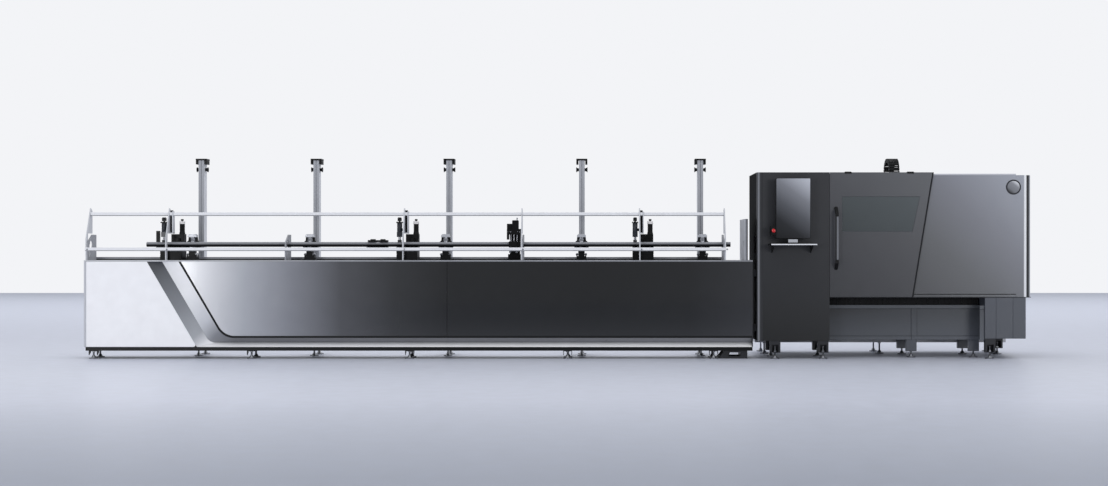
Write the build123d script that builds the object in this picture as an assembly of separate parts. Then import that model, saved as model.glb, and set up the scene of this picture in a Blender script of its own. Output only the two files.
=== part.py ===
from build123d import *
import math
import os

os.makedirs("parts", exist_ok=True)

# A tube laser cutting line: a long loading bed on the left feeds one stock tube
# into a cutting enclosure on the right. All sizes are in mm.
# X runs along the line, Y towards the back and Z up. The origin is on the floor,
# under the middle of the machine's box.

# The whole machine: the loading bed, a gap and the cutting cabin
BED_LENGTH = 7045.0
CABIN_GAP = 38.0
CABIN_LENGTH = 2887.0
LINE_LENGTH = BED_LENGTH + CABIN_GAP + CABIN_LENGTH
LEFT_END = -LINE_LENGTH / 2
RIGHT_END = LINE_LENGTH / 2
BED_RIGHT = LEFT_END + BED_LENGTH
ENCLOSURE_LEFT = BED_RIGHT + CABIN_GAP
ENCLOSURE_FRONT = -530.0
RUN_GAP = 0.3
FIT_GAP = 0.05


def along_bed(share):
    """X of a place along the loading bed, from 0 at its left end to 1 at its right."""
    return LEFT_END + share * BED_LENGTH


def deep(distance):
    """Y of a point this far behind the enclosure's front face."""
    return ENCLOSURE_FRONT + distance


# The stock tube and its line through the machine
TUBE_RADIUS = 26.0
TUBE_WALL = 3.0
TUBE_LENGTH = 6195.0
TUBE_LEFT = LEFT_END + 625.0
TUBE_Y = deep(180.0)
TUBE_Z = 1204.0
TUBE_TOP = TUBE_Z + TUBE_RADIUS
TUBE_BOTTOM = TUBE_Z - TUBE_RADIUS

# The loading bed
BED_FRONT = deep(40.0)
BED_DEPTH = 380.0
BED_BACK = BED_FRONT + BED_DEPTH
TRAY_BOTTOM = 84.0
TRAY_HEIGHT = 40.0
TRAY_TOP = TRAY_BOTTOM + TRAY_HEIGHT
TRAY_SHEET = 6.0
TRAY_INSET = 4.0
COVER_TOP = 1022.0
COVER_SHEET = 8.0
DECK_THICKNESS = 15.0
DECK_TOP = COVER_TOP + DECK_THICKNESS
SIDE_COVER = 24.0
END_PANEL = 10.0
COUPLING = 70.0
COUPLING_Y = [BED_FRONT + 80.0, BED_BACK - 80.0]
COUPLING_Z = [TRAY_TOP + 200.0, COVER_TOP - 120.0]
STAND_LENGTH = 305.0
STAND_LEFT = BED_RIGHT - 55.0 - STAND_LENGTH
INNER_LEFT = LEFT_END + SIDE_COVER
INNER_RIGHT = BED_RIGHT - END_PANEL

# The silver channel round the black front panels
SLANT = math.radians(30.3)
WHITE_TOP_LENGTH = 665.0
FLANK_OUTER = 141.0
FLANK_INNER = 192.0
LOWER_FLANK_OUTER = 42.0
LOWER_FLANK_INNER = 63.0
CHANNEL_DEPTH = 72.0
CHANNEL_SHEET = 3.0
CHANNEL_LAP = 40.0
OUTER_ROUND = 20.0
VALLEY_ROUND = 110.0
PANEL_ROUND = 200.0
WHITE_ROUND = 45.0
PANEL_SEAM_X = along_bed(0.5429)
PANEL_SEAM = 3.0
PANEL_RETURN = 6.0

# The bed's inner frame of square bars
FRAME_BAR = 50.0
FRAME_FRONT = BED_FRONT + CHANNEL_DEPTH + CHANNEL_SHEET
FRAME_BACK = BED_BACK - TRAY_SHEET
UPRIGHT_OFFSET = 170.0

# Columns behind the bed and the support heads beside them
FIRST_STATION_X = along_bed(0.1216)
COLUMN_AFTER_STATION = 240.2
COLUMN_X = [FIRST_STATION_X + COLUMN_AFTER_STATION]
COLUMN_X += [along_bed(share) for share in (0.3331, 0.5383, 0.7434, 0.9265)]
COLUMN_WIDTH = 60.0
COLUMN_DEPTH = 120.0
COLUMN_FRONT = deep(585.0)
COLUMN_TOP = 2122.0
COLUMN_WALL = 5.0
ARM_WIDTH = 80.0
ARM_HEIGHT = 80.0
ARM_BACK = deep(820.0)
TIE_HEIGHT = 60.0
TIE_DEPTH = 40.0
TIE_BOTTOM = 560.0
CAP_WIDTH = 120.0
CAP_THICKNESS = 16.0
CAP_LEG = 22.0
CAP_DROP = 45.0
CAP_LAP = 10.0
CONE_Z = COLUMN_TOP - 101.0
CONE_OUTER = 27.0
CONE_INNER = 14.0
CONE_LENGTH = 32.0

# The fence along the front of the bed
STATION_X = [FIRST_STATION_X] + [along_bed(share) for share in (0.4764, 0.8312)]
END_POST_X = [LEFT_END + 17.0, BED_RIGHT - 288.0]
MIDDLE_POST_X = along_bed(0.6538)
FREE_FIN_X = along_bed(0.2989)
POST_SHEET = 12.0
POST_FRONT = deep(60.0)
POST_LEG = 50.0
POST_BACK = deep(254.0)
POST_SHOULDER = 1261.0
POST_CUT = 1320.0
POST_TIP_Y = deep(205.0)
POST_TIP = 1591.0
POST_HEEL = 1560.0
FIN_BACK = deep(345.0)
FIN_TOP = 1308.0
FIN_SHOULDER = 1222.0
FIN_SLOT = 37.0
FIN_SLOT_Y = POST_FRONT + 60.0
FIN_HOLE = 45.0
RAIL_THICKNESS = 20.0
LOWER_RAIL_BOTTOM = 1134.0
LOWER_RAIL_HEIGHT = 37.0
UPPER_RAIL_Y = deep(190.0)
UPPER_RAIL_BOTTOM = 1507.0
UPPER_RAIL_HEIGHT = 38.0
UPPER_RAIL_THICKNESS = 25.0
TWIN_GAP = 28.0
TWIN_TOP = 1555.0
TWIN_SHEET = 10.0

# The guide rail that the feed gripper rides on
GUIDE_Y = deep(372.0)
GUIDE_WIDTH = 40.0
GUIDE_TOP = 1070.0
GUIDE_HEAD = 20.0
GUIDE_WEB = 20.0
GUIDE_RIGHT = BED_RIGHT - 305.0

# The support heads
HEAD_ROLLER = 28.0
HEAD_Y = TUBE_Y + TUBE_RADIUS + RUN_GAP + HEAD_ROLLER
NECK = 68.0
NECK_BOTTOM = 960.0
NECK_TOP = 1171.0
SLEEVE = 90.0
SLEEVE_BOTTOM = 880.0
BASE_BLOCK = 104.0
BASE_TOP = 1080.0
HEAD_DROP = 30.0
HEAD_PLATE_WIDTH = 154.0
HEAD_PLATE_TOP = 1248.0
HEAD_PLATE_BACK = 40.0
HEAD_BLOCK_WIDTH = 106.0
HEAD_CHAMFER = 28.0
HEAD_CAP_SETBACK = 2.0
HEAD_CAP_WIDTH = 93.0
HEAD_CAP_BOTTOM = 1281.0
HEAD_CAP_TOP = 1314.0
SIDE_WHEEL = 13.0
SIDE_WHEEL_LIFT = 6.0
CHEEK = 8.0
CARRY_ROLLER = 20.0

# The clamp units at the stations
PRESS_X = -48.0
PRESS_WIDTH = 54.0
PRESS_BODY_BOTTOM = 1283.0
PRESS_BODY_TOP = 1430.0
PRESS_FLANGE = 66.0
PRESS_FLANGE_SHEET = 11.0
PRESS_CAP = 40.0
PRESS_CAP_TOP = 1491.0
PRESS_NECK = 12.0
PRESS_ROD = 13.0
PRESS_ROD_LENGTH = 120.0
PRESS_PAD = 40.0
PRESS_PAD_TOP = 1256.0
UNIT_LEFT = 10.0
UNIT_RIGHT = 147.0
UNIT_FRONT = deep(120.0)
UNIT_BACK = deep(330.0)
UNIT_WALL = 90.0
UNIT_TOP = 1314.0
MOTOR_X = 115.0
MOTOR_Y = deep(285.0)
MOTOR_RADIUS = 28.5
MOTOR_BOTTOM = 1330.0
MOTOR_TOP = 1423.0
DISC_RADIUS = 31.0
DISC_TOP = 1452.0
KNOB_RADIUS = 15.0
KNOB_TOP = 1475.0

# The feed gripper
GRIPPER_X = along_bed(0.642)
GRIPPER_WIDTH = 148.0
GRIPPER_FRONT = deep(125.0)
GRIPPER_BACK = deep(240.0)
GRIPPER_BORE = TUBE_RADIUS + 2.0
GRIPPER_BASE_BOTTOM = 1170.0
GRIPPER_BASE_TOP = 1236.0
GRIPPER_BODY_BOTTOM = 1310.0
GRIPPER_BODY_TOP = 1368.0
GRIPPER_HEAD_TOP = 1460.0
SADDLE_SIDE = 12.0
SADDLE_HEIGHT = 30.0

# The tube rest that hangs on the lower fence rail
REST_X = along_bed(0.437)
REST_WIDTH = 210.0
REST_BACK = deep(228.0)
REST_BOTTOM = 1160.0
REST_STEP = 10.0

# The plate that guides the tube into the enclosure
ENTRY_X = BED_RIGHT - 87.0
ENTRY_SHEET = 34.0
ENTRY_FRONT = deep(44.0)
ENTRY_BACK = deep(596.0)
ENTRY_TOP = 1472.0
ENTRY_HOLE = 40.0

# The enclosure's shell
SHELL_DEPTH = 822.0
SHELL_BACK = deep(SHELL_DEPTH)
SHELL = 4.0
SHELL_BOTTOM = 190.0
SHELL_TOP = 1961.0
ROOF_TOP = 1932.0
ROOF_SHEET = 6.0
COVER_RIGHT = ENCLOSURE_LEFT + 763.0
COVER_ROUND = 38.0
COVER_RETURN = 60.0
WALL_HOLE = 90.0

# The sliding door
DOOR_SHEET = 14.0
DOOR_SKIN = 3.0
DOOR_BOTTOM = 651.0
DOOR_TOP_RIGHT = ENCLOSURE_LEFT + 1859.0
DOOR_BOTTOM_RIGHT = ENCLOSURE_LEFT + 1644.0
DOOR_LEFT_GAP = 3.0
WINDOW_LEFT = ENCLOSURE_LEFT + 893.0
WINDOW_TOP_RIGHT = ENCLOSURE_LEFT + 1712.0
WINDOW_BOTTOM_RIGHT = ENCLOSURE_LEFT + 1635.0
WINDOW_BOTTOM = 1337.0
WINDOW_TOP = 1707.0
WINDOW_SHEET = 6.0
HANGER_X = [ENCLOSURE_LEFT + 959.0, ENCLOSURE_LEFT + 1615.0]
HANGER_WIDTH = 74.0
HANGER_DROP = 14.0
HANGER_RISE = 8.0
HANGER_BACK = deep(46.0)
TOP_RAIL_FRONT = deep(22.0)
TOP_RAIL_BACK = deep(50.0)
DOOR_RAIL_RIGHT = RIGHT_END - 160.0
DOOR_RAIL_BACK = deep(40.0)
DOOR_RAIL_HEIGHT = 32.0
HANDLE_X = ENCLOSURE_LEFT + 831.0
HANDLE_WIDTH = 44.0
HANDLE_THICKNESS = 20.0
HANDLE_BOTTOM = 935.0
HANDLE_TOP = 1602.0
HANDLE_REACH = 80.0
HANDLE_BEND = 70.0

# The fixed panel right of the door
PANEL_SETBACK = 18.0
PANEL_LAP = 60.0
PANEL_BOTTOM = DOOR_BOTTOM + DOOR_RAIL_HEIGHT
PANEL_CORNER = 60.0
PANEL_WRAP = 78.0
BADGE_X = RIGHT_END - 188.0
BADGE_Z = 1806.0
BADGE_RADIUS = 79.0
BADGE_SHEET = 3.0

# The control panel on the front cover
SCREEN_LEFT = ENCLOSURE_LEFT + 183.0
SCREEN_WIDTH = 360.0
SCREEN_BOTTOM = 1264.0
SCREEN_HEIGHT = 629.0
SCREEN_FRONT = deep(-150.0)
SCREEN_DEPTH = 55.0
SCREEN_ROUND = 12.0
BRACKET_PIN = 18.0
BRACKET_Z = 1560.0
BRACKET_SPAN = 150.0
BRACKET_PLATE = 220.0
STOP_Z = 1346.0
STOP_COLLAR = 17.0
STOP_RADIUS = 20.0
STOP_STEM = 9.0
STOP_TRAVEL_GAP = 5.0
SHELF_LEFT = ENCLOSURE_LEFT + 117.0
SHELF_WIDTH = 486.0
SHELF_BOTTOM = 1193.0
SHELF_SHEET = 18.0
SHELF_REACH = 240.0
SHELF_RIB = 40.0

# The machine base and its legs
BASE_LEFT = ENCLOSURE_LEFT + 42.0
BASE_BACK = deep(800.0)
PEDESTAL_TOP = 1000.0
BASE_PLATE = 16.0
LEG_WIDTH = 110.0
LEG_DEPTH = 60.0
LEG_BOTTOM = 66.0
LEG_LIP = 7.0
LEG_CUT = 68.0
LEG_CUT_HEIGHT = 75.0
FRONT_LEG_X = [ENCLOSURE_LEFT + 193.0, ENCLOSURE_LEFT + 698.0]
REAR_LEG_Y = deep(420.0)

# The chamber floor, the catch bin under it and the right cabinet
CABINET_WIDTH = 430.0
CABINET_RIGHT = RIGHT_END - 57.0
CABINET_LEFT = CABINET_RIGHT - CABINET_WIDTH
CHUTE_RIGHT = CABINET_LEFT - 98.0
BIN_SEAM_X = ENCLOSURE_LEFT + 1668.0
BIN_LEFT = COVER_RIGHT + 29.0
BIN_RIGHT = CABINET_LEFT
BIN_LEG_X = [BIN_SEAM_X + 4.0, BIN_RIGHT - 63.0]
FLOOR_SHEET = 6.0
FLOOR_TOP = DOOR_BOTTOM
CHUTE_LEFT = ENCLOSURE_LEFT + 862.0
CHUTE_FRONT = deep(120.0)
CHUTE_BACK = deep(560.0)
BIN_FRONT = deep(240.0)
BIN_TOP = 559.0
BIN_SHEET = 4.0
BIN_RIM = 37.0
BIN_RIM_STEP = 8.0
CABINET_FRONT = deep(20.0)
CABINET_BOTTOM = 212.0
CABINET_LEG_X = CABINET_LEFT + 57.0
CABINET_SEAM_X = CABINET_RIGHT - 136.0
SEAM = 3.0
SEAM_DEPTH = 4.0

# The cutting unit in the chamber
BEAM_LEFT = COVER_RIGHT + 20.0
BEAM_RIGHT = RIGHT_END - 85.0
BEAM_FRONT = deep(640.0)
BEAM_TOP = 1500.0
BEAM_PLATE = 12.0
TRACK_Z = [1140.0, 1440.0]
TRACK = 30.0
CARRIAGE_X = ENCLOSURE_LEFT + 1052.0
CARRIAGE_WIDTH = 260.0
CARRIAGE_SHEET = 40.0
CARRIAGE_BOTTOM = 1090.0
CARRIAGE_TOP = 1560.0
BARREL = 21.0
ARM_FRONT = TUBE_Y + BARREL + 2.0
ARM_THICKNESS = 120.0
ARM_BOTTOM = 1500.0
SLIDE_WIDTH = 120.0
HEAD_BODY_FRONT = deep(130.0)
NOZZLE_TIP = 1262.0
NOZZLE_RADIUS = 7.0
NOZZLE_LENGTH = 70.0
NOSE_DROP = 60.0
NOSE_SIDE = 20.0
HEAD_BODY_TOP = 1720.0

# The chuck behind the front cover
CHUCK_LEFT = ENCLOSURE_LEFT + 62.0
CHUCK_HOUSING = 220.0
CHUCK_RADIUS = 140.0
CHUCK_BORE = 42.0
CHUCK_FACE = 120.0
CHUCK_SHAFT = 95.0
JAW_WIDTH = 40.0
JAW_LENGTH = 46.0

# The cable chain over the roof
CHAIN_X = ENCLOSURE_LEFT + 1474.0
CHAIN_WIDTH = 108.0
CHAIN_HEIGHT = 46.0
CHAIN_FRONT = deep(150.0)
CHAIN_BACK = deep(500.0)
CHAIN_TOP = ROOF_TOP + 190.0
CHAIN_ROUND = 150.0

# The rear cabinet with the laser source and the power supply
REAR_LEFT = ENCLOSURE_LEFT + 60.0
REAR_RIGHT = CABINET_RIGHT
REAR_DEPTH = 478.0
REAR_TOP = 1900.0
REAR_SHEET = 3.0
REAR_BOTTOM = 126.0
REAR_DOORS = 4
DUCT_X = RIGHT_END - 585.0
DUCT_RADIUS = 100.0
DUCT_LENGTH = 60.0
LOUVRE_HEIGHT = 12.0
LOUVRE_PITCH = 36.0
LOUVRE_COUNT = 10
LOUVRE_WIDTH = 320.0

# Levelling feet
PAD_RADIUS = 48.0
PAD_HEIGHT = 12.0
CONE_HEIGHT = 26.0
STEM_RADIUS = 10.0
NUT_RADIUS = 18.0
NUT_HEIGHT = 12.0
FOOT_BEFORE_STAND = 52.0
BED_FOOT_X = [along_bed(share) for share in (0.0136, 0.2501, 0.4866, 0.7231)]
BED_FOOT_X += [STAND_LEFT - FOOT_BEFORE_STAND]
FOOT_ROWS = [deep(70.0), deep(286.0)]


def span(low, size):
    """A low and high pair from where it starts and how far it runs."""
    return (low, low + size)


def middle(centre, size):
    """A low and high pair around a centre."""
    return (centre - size / 2, centre + size / 2)


def block(x, y, z):
    """A box from its low and high pairs along X, Y and Z."""
    size = Box(x[1] - x[0], y[1] - y[0], z[1] - z[0])
    return Pos((x[0] + x[1]) / 2, (y[0] + y[1]) / 2, (z[0] + z[1]) / 2) * size


def upright(x, y, z, radius):
    """A cylinder standing on its end."""
    return Pos(x, y, (z[0] + z[1]) / 2) * Cylinder(radius, z[1] - z[0])


def along_x(x, y, z, radius):
    """A cylinder lying along the line."""
    return Pos((x[0] + x[1]) / 2, y, z) * Rot(0, 90, 0) * Cylinder(radius, x[1] - x[0])


def along_y(x, y, z, radius):
    """A cylinder lying front to back."""
    return Pos(x, (y[0] + y[1]) / 2, z) * Rot(90, 0, 0) * Cylinder(radius, y[1] - y[0])


def outline_yz(points, x, thickness):
    """A plate across the line, cut to an outline of (Y, Z) points."""
    face = Plane.YZ.offset(x) * make_face(Polyline(*points, close=True))
    return extrude(face, amount=thickness)


def outline_xz(points, y, thickness):
    """A plate that faces the front, cut to an outline of (X, Z) points."""
    return extrude(front_face(points, y), amount=-thickness)


def front_face(points, y):
    """A flat face at depth Y, seen from the front, with (X, Z) points."""
    plane = Plane(origin=(0, y, 0), x_dir=(1, 0, 0), z_dir=(0, -1, 0))
    return plane * make_face(Polyline(*points, close=True))


def hollow(x, y, z, sheet, open_top=False):
    """A sheet box, closed all round or open at the top."""
    lid = sheet if open_top else -sheet
    inner = block(
        (x[0] + sheet, x[1] - sheet), (y[0] + sheet, y[1] - sheet), (z[0] + sheet, z[1] + lid)
    )
    return block(x, y, z) - inner


def save(node, shape):
    """Write one named piece."""
    export_step(shape, f"parts/{node}.step")


# The loading bed's shell
def channel_region(top_x, floor_z, radius, y):
    """All of the bed's front right of a slanted edge and above a lower edge."""
    corner = top_x + (COVER_TOP - floor_z) * math.tan(SLANT)
    points = [(top_x, COVER_TOP), (corner, floor_z), (INNER_RIGHT, floor_z), (INNER_RIGHT, COVER_TOP)]
    face = front_face(points, y)
    bend = face.vertices().sort_by_distance((corner, y, floor_z))[0]
    return fillet(bend, radius)


WHITE_TOP_X = LEFT_END + WHITE_TOP_LENGTH
VALLEY_TOP_X = WHITE_TOP_X + FLANK_OUTER
PANEL_TOP_X = VALLEY_TOP_X + FLANK_INNER
VALLEY_Z = TRAY_TOP + LOWER_FLANK_OUTER
PANEL_Z = VALLEY_Z + LOWER_FLANK_INNER


def make_channel():
    """A folded V groove that runs down the slant and along the bed's foot."""
    floor = BED_FRONT + CHANNEL_DEPTH
    outer = channel_region(WHITE_TOP_X, TRAY_TOP, OUTER_ROUND, BED_FRONT)
    valley = channel_region(VALLEY_TOP_X, VALLEY_Z, VALLEY_ROUND, floor)
    inner = channel_region(PANEL_TOP_X, PANEL_Z, PANEL_ROUND, BED_FRONT)
    outer_flank = extrude(outer, amount=-CHANNEL_DEPTH) - loft([outer, valley], ruled=True)
    inner_flank = loft([inner, valley], ruled=True) - extrude(inner, amount=-CHANNEL_DEPTH)
    back = extrude(channel_region(WHITE_TOP_X, TRAY_TOP, OUTER_ROUND, floor), amount=-CHANNEL_SHEET)
    lap = channel_region(PANEL_TOP_X + CHANNEL_LAP, PANEL_Z + CHANNEL_LAP, PANEL_ROUND, floor)
    back = back - extrude(lap, amount=-CHANNEL_SHEET)
    return outer_flank + inner_flank + back


def make_fascia(x):
    """One glossy front panel with a fold along its top."""
    region = extrude(channel_region(PANEL_TOP_X, PANEL_Z, PANEL_ROUND, BED_FRONT), amount=-COVER_SHEET)
    depth = (BED_FRONT, BED_FRONT + COVER_SHEET)
    sheet = region & block(x, depth, (PANEL_Z, COVER_TOP))
    fold_start = max(x[0], PANEL_TOP_X + CHANNEL_LAP + COVER_SHEET)
    fold = block((fold_start, x[1]), (depth[1], FRAME_FRONT), (COVER_TOP - PANEL_RETURN, COVER_TOP))
    return sheet + fold


def make_white_cover():
    """The white cover at the bed's left end, with one slanted edge."""
    corner = WHITE_TOP_X + (COVER_TOP - TRAY_TOP) * math.tan(SLANT)
    points = [(INNER_LEFT, TRAY_TOP), (corner, TRAY_TOP), (WHITE_TOP_X, COVER_TOP), (INNER_LEFT, COVER_TOP)]
    face = front_face(points, BED_FRONT)
    bend = face.vertices().sort_by_distance((corner, BED_FRONT, TRAY_TOP))[0]
    return extrude(fillet(bend, WHITE_ROUND), amount=-COVER_SHEET)


def upright_positions():
    """Frame uprights, clear of the support heads' sleeves."""
    beside = [x - UPRIGHT_OFFSET for x in COLUMN_X]
    between = [(a + b) / 2 for a, b in zip(beside, beside[1:])]
    ends = [INNER_LEFT + FRAME_BAR / 2, INNER_RIGHT - FRAME_BAR / 2]
    return sorted(beside + between + ends)


def make_bed_frame():
    """A welded cage of square bars that carries the deck and the covers."""
    length = (INNER_LEFT, INNER_RIGHT)
    levels = [span(TRAY_BOTTOM + TRAY_SHEET, FRAME_BAR), span(COVER_TOP - FRAME_BAR, FRAME_BAR)]
    lanes = [span(FRAME_FRONT, FRAME_BAR), span(FRAME_BACK - FRAME_BAR, FRAME_BAR)]
    bars = [block(length, lane, level) for lane in lanes for level in levels]
    tie_z = span(TIE_BOTTOM, TIE_HEIGHT)
    bars.append(block(length, lanes[1], tie_z))
    for x in upright_positions():
        width = middle(x, FRAME_BAR)
        bars += [block(width, lane, (levels[0][0], levels[1][1])) for lane in lanes]
        bars += [block(width, (lanes[0][0], lanes[1][1]), level) for level in levels]
    return bars[0].fuse(*bars[1:])


tray_x = (INNER_LEFT - TRAY_SHEET, INNER_RIGHT + TRAY_SHEET)
tray_y = (BED_FRONT + TRAY_INSET, FRAME_BACK + TRAY_SHEET)
save("bed_base_tray", hollow(tray_x, tray_y, (TRAY_BOTTOM, TRAY_TOP), TRAY_SHEET, open_top=True))
save("bed_frame", make_bed_frame())
save("white_end_cover", make_white_cover())
save("end_side_cover", block(span(LEFT_END, SIDE_COVER), (BED_FRONT, BED_BACK), (TRAY_TOP, COVER_TOP)))
save("bed_back_panel", block((INNER_LEFT, INNER_RIGHT), (FRAME_BACK, BED_BACK), (TRAY_TOP, COVER_TOP)))
save("silver_channel", make_channel())
save("fascia_panel_left", make_fascia((PANEL_TOP_X - FLANK_INNER, PANEL_SEAM_X - PANEL_SEAM / 2)))
save("fascia_panel_right", make_fascia((PANEL_SEAM_X + PANEL_SEAM / 2, INNER_RIGHT)))


def make_end_panel():
    """The panel at the bed's right end, with the blocks that bolt it to the cabin."""
    panel = block((INNER_RIGHT, BED_RIGHT), (BED_FRONT, BED_BACK), (TRAY_TOP, COVER_TOP))
    x = (BED_RIGHT, ENCLOSURE_LEFT)
    blocks = [block(x, middle(y, COUPLING), middle(z, COUPLING)) for y in COUPLING_Y for z in COUPLING_Z]
    return Compound([panel] + blocks)


save("bed_end_panel", make_end_panel())


# The deck and what stands on it
def make_deck():
    """The bed's top plate, with a hole for each support head's sleeve."""
    deck = block((LEFT_END, BED_RIGHT), (BED_FRONT, BED_BACK), (COVER_TOP, DECK_TOP))
    holes = [
        block(middle(x, SLEEVE), middle(HEAD_Y, SLEEVE), (COVER_TOP - 1, DECK_TOP + 1)) for x in COLUMN_X
    ]
    return deck - holes


def make_guide_rail():
    """A T-shaped rail behind the fins."""
    length = (LEFT_END + SIDE_COVER, GUIDE_RIGHT)
    head = block(length, middle(GUIDE_Y, GUIDE_WIDTH), (GUIDE_TOP - GUIDE_HEAD, GUIDE_TOP))
    web = block(length, middle(GUIDE_Y, GUIDE_WEB), (DECK_TOP, GUIDE_TOP - GUIDE_HEAD))
    return head + web


def upper_rail_block():
    """The flat bar that runs through the posts near their tips."""
    x = (END_POST_X[0] - POST_SHEET / 2, END_POST_X[1] + POST_SHEET / 2)
    y = span(UPPER_RAIL_Y, UPPER_RAIL_THICKNESS)
    return block(x, y, span(UPPER_RAIL_BOTTOM, UPPER_RAIL_HEIGHT))


def lower_rail_block():
    """The flat bar on the front of the posts' legs."""
    x = (END_POST_X[0] - POST_SHEET / 2, END_POST_X[1] + POST_SHEET / 2)
    y = (POST_FRONT - RAIL_THICKNESS, POST_FRONT)
    return block(x, y, span(LOWER_RAIL_BOTTOM, LOWER_RAIL_HEIGHT))


def make_post(x):
    """One fence post: a leg in front of the tube and a hooked blade above it."""
    leg_back = POST_FRONT + POST_LEG
    points = [
        (POST_FRONT, DECK_TOP),
        (POST_FRONT, POST_SHOULDER),
        (POST_TIP_Y, POST_TIP),
        (POST_BACK, POST_HEEL),
        (POST_BACK, POST_CUT),
        (leg_back, POST_CUT),
        (leg_back, DECK_TOP),
    ]
    return outline_yz(points, x - POST_SHEET / 2, POST_SHEET) - upper_rail_block()


def make_station_post(x):
    """A post with a second, shorter blade beside it on a foot plate."""
    inner = x + POST_SHEET / 2
    twin = span(inner + TWIN_GAP, TWIN_SHEET)
    foot = block((inner, twin[1]), (UPPER_RAIL_Y, POST_BACK), (POST_CUT, POST_CUT + TWIN_SHEET))
    blade = block(twin, (UPPER_RAIL_Y - TWIN_SHEET, POST_BACK), (POST_CUT, TWIN_TOP))
    return make_post(x) + foot + (blade - upper_rail_block())


def make_fin(x):
    """A low gusset with a keyhole that the tube passes through."""
    points = [
        (POST_FRONT, DECK_TOP),
        (POST_FRONT, FIN_SHOULDER),
        (POST_TIP_Y, FIN_TOP),
        (FIN_BACK, FIN_TOP),
        (FIN_BACK, DECK_TOP),
    ]
    plate = outline_yz(points, x, POST_SHEET)
    wide = (x - 1, x + POST_SHEET + 1)
    slot = block(wide, span(FIN_SLOT_Y, FIN_SLOT), (DECK_TOP + FIN_SLOT, TUBE_Z))
    return plate - slot - along_x(wide, TUBE_Y, TUBE_Z, FIN_HOLE)


def make_column(x):
    """One column on its foot beam behind the bed."""
    tray = block(middle(x, ARM_WIDTH), (BED_BACK, ARM_BACK), span(TRAY_BOTTOM, ARM_HEIGHT))
    depth = span(COLUMN_FRONT, COLUMN_DEPTH)
    post = block(middle(x, COLUMN_WIDTH), depth, (TRAY_BOTTOM + ARM_HEIGHT, COLUMN_TOP))
    bore = block(
        middle(x, COLUMN_WIDTH - 2 * COLUMN_WALL),
        (depth[0] + COLUMN_WALL, depth[1] - COLUMN_WALL),
        (TRAY_BOTTOM + ARM_HEIGHT + COLUMN_WALL, COLUMN_TOP),
    )
    return tray + (post - bore)


def make_column_cap(x):
    """A cap plate with a leg at each end, and a guide cone on each side."""
    middle_y = COLUMN_FRONT + COLUMN_DEPTH / 2
    top = block(
        middle(x, CAP_WIDTH),
        (COLUMN_FRONT - CAP_LAP, COLUMN_FRONT + COLUMN_DEPTH + CAP_LAP),
        span(COLUMN_TOP, CAP_THICKNESS),
    )
    pieces = [top]
    for side in (-1, 1):
        leg_x = x + side * (CAP_WIDTH - CAP_LEG) / 2
        leg = block(middle(leg_x, CAP_LEG), middle(middle_y, COLUMN_DEPTH), (COLUMN_TOP - CAP_DROP, COLUMN_TOP))
        pieces.append(leg)
    return pieces[0].fuse(*pieces[1:])


def make_cone(x, side):
    """A conical guide bolted to a column's side, wide end outwards."""
    cone = Cone(CONE_INNER, CONE_OUTER, CONE_LENGTH)
    centre_x = x + side * (COLUMN_WIDTH + CONE_LENGTH) / 2
    return Pos(centre_x, COLUMN_FRONT + COLUMN_DEPTH / 2, CONE_Z) * Rot(0, side * 90, 0) * cone


posts = [make_post(x) for x in END_POST_X + [MIDDLE_POST_X]]
posts += [make_station_post(x) for x in STATION_X]
fin_x = [x + POST_SHEET / 2 for x in [END_POST_X[0], MIDDLE_POST_X, FREE_FIN_X]]
fin_x.append(END_POST_X[1] - POST_SHEET * 1.5)
caps = [make_column_cap(x) for x in COLUMN_X]
caps += [make_cone(x, side) for x in COLUMN_X for side in (-1, 1)]
columns = [make_column(x) for x in COLUMN_X]
tie_x = (COLUMN_X[0] - COLUMN_WIDTH / 2, COLUMN_X[-1] + COLUMN_WIDTH / 2)
tie_y = span(COLUMN_FRONT + COLUMN_DEPTH, TIE_DEPTH)
save("bed_deck", make_deck())
save("guide_rail", make_guide_rail())
save("fence_posts", Compound(posts))
save("fence_fins", Compound([make_fin(x) for x in fin_x]))
save("fence_rails", Compound([upper_rail_block(), lower_rail_block()]))
save("columns", Compound(columns + [block(tie_x, tie_y, span(TIE_BOTTOM, TIE_HEIGHT))]))
save("column_caps", Compound(caps))

tube_x = span(TUBE_LEFT, TUBE_LENGTH)
tube = along_x(tube_x, TUBE_Y, TUBE_Z, TUBE_RADIUS) - along_x(tube_x, TUBE_Y, TUBE_Z, TUBE_RADIUS - TUBE_WALL)
save("stock_tube", tube)


# Support heads: a fixed sleeve in the deck and a head that drops into it
SIDE_WHEEL_Z = BASE_TOP + SIDE_WHEEL_LIFT + SIDE_WHEEL
HEAD_BLOCK_BOTTOM = SIDE_WHEEL_Z + SIDE_WHEEL + HEAD_DROP + CHEEK / 2
CARRY_Z = TUBE_BOTTOM - RUN_GAP - CARRY_ROLLER


def make_support_base(x):
    """A square sleeve through the deck, with a block and two guide wheels on top."""
    hole = NECK + 2 * FIT_GAP
    sleeve = block(middle(x, SLEEVE), middle(HEAD_Y, SLEEVE), (SLEEVE_BOTTOM, DECK_TOP))
    top = block(middle(x, BASE_BLOCK), middle(HEAD_Y, BASE_BLOCK), (DECK_TOP, BASE_TOP))
    bore = block(middle(x, hole), middle(HEAD_Y, hole), (SLEEVE_BOTTOM - 1, BASE_TOP + 1))
    base = sleeve + top - bore
    for side in (-1, 1):
        wheel_x = x + side * (NECK / 2 + RUN_GAP + SIDE_WHEEL)
        base = base + along_y(wheel_x, middle(HEAD_Y, NECK), SIDE_WHEEL_Z, SIDE_WHEEL)
        for end in (-1, 1):
            cheek_y = middle(HEAD_Y + end * (NECK + CHEEK) / 2, CHEEK)
            base = base + block(middle(wheel_x, SIDE_WHEEL), cheek_y, (BASE_TOP, SIDE_WHEEL_Z))
    return base


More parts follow.
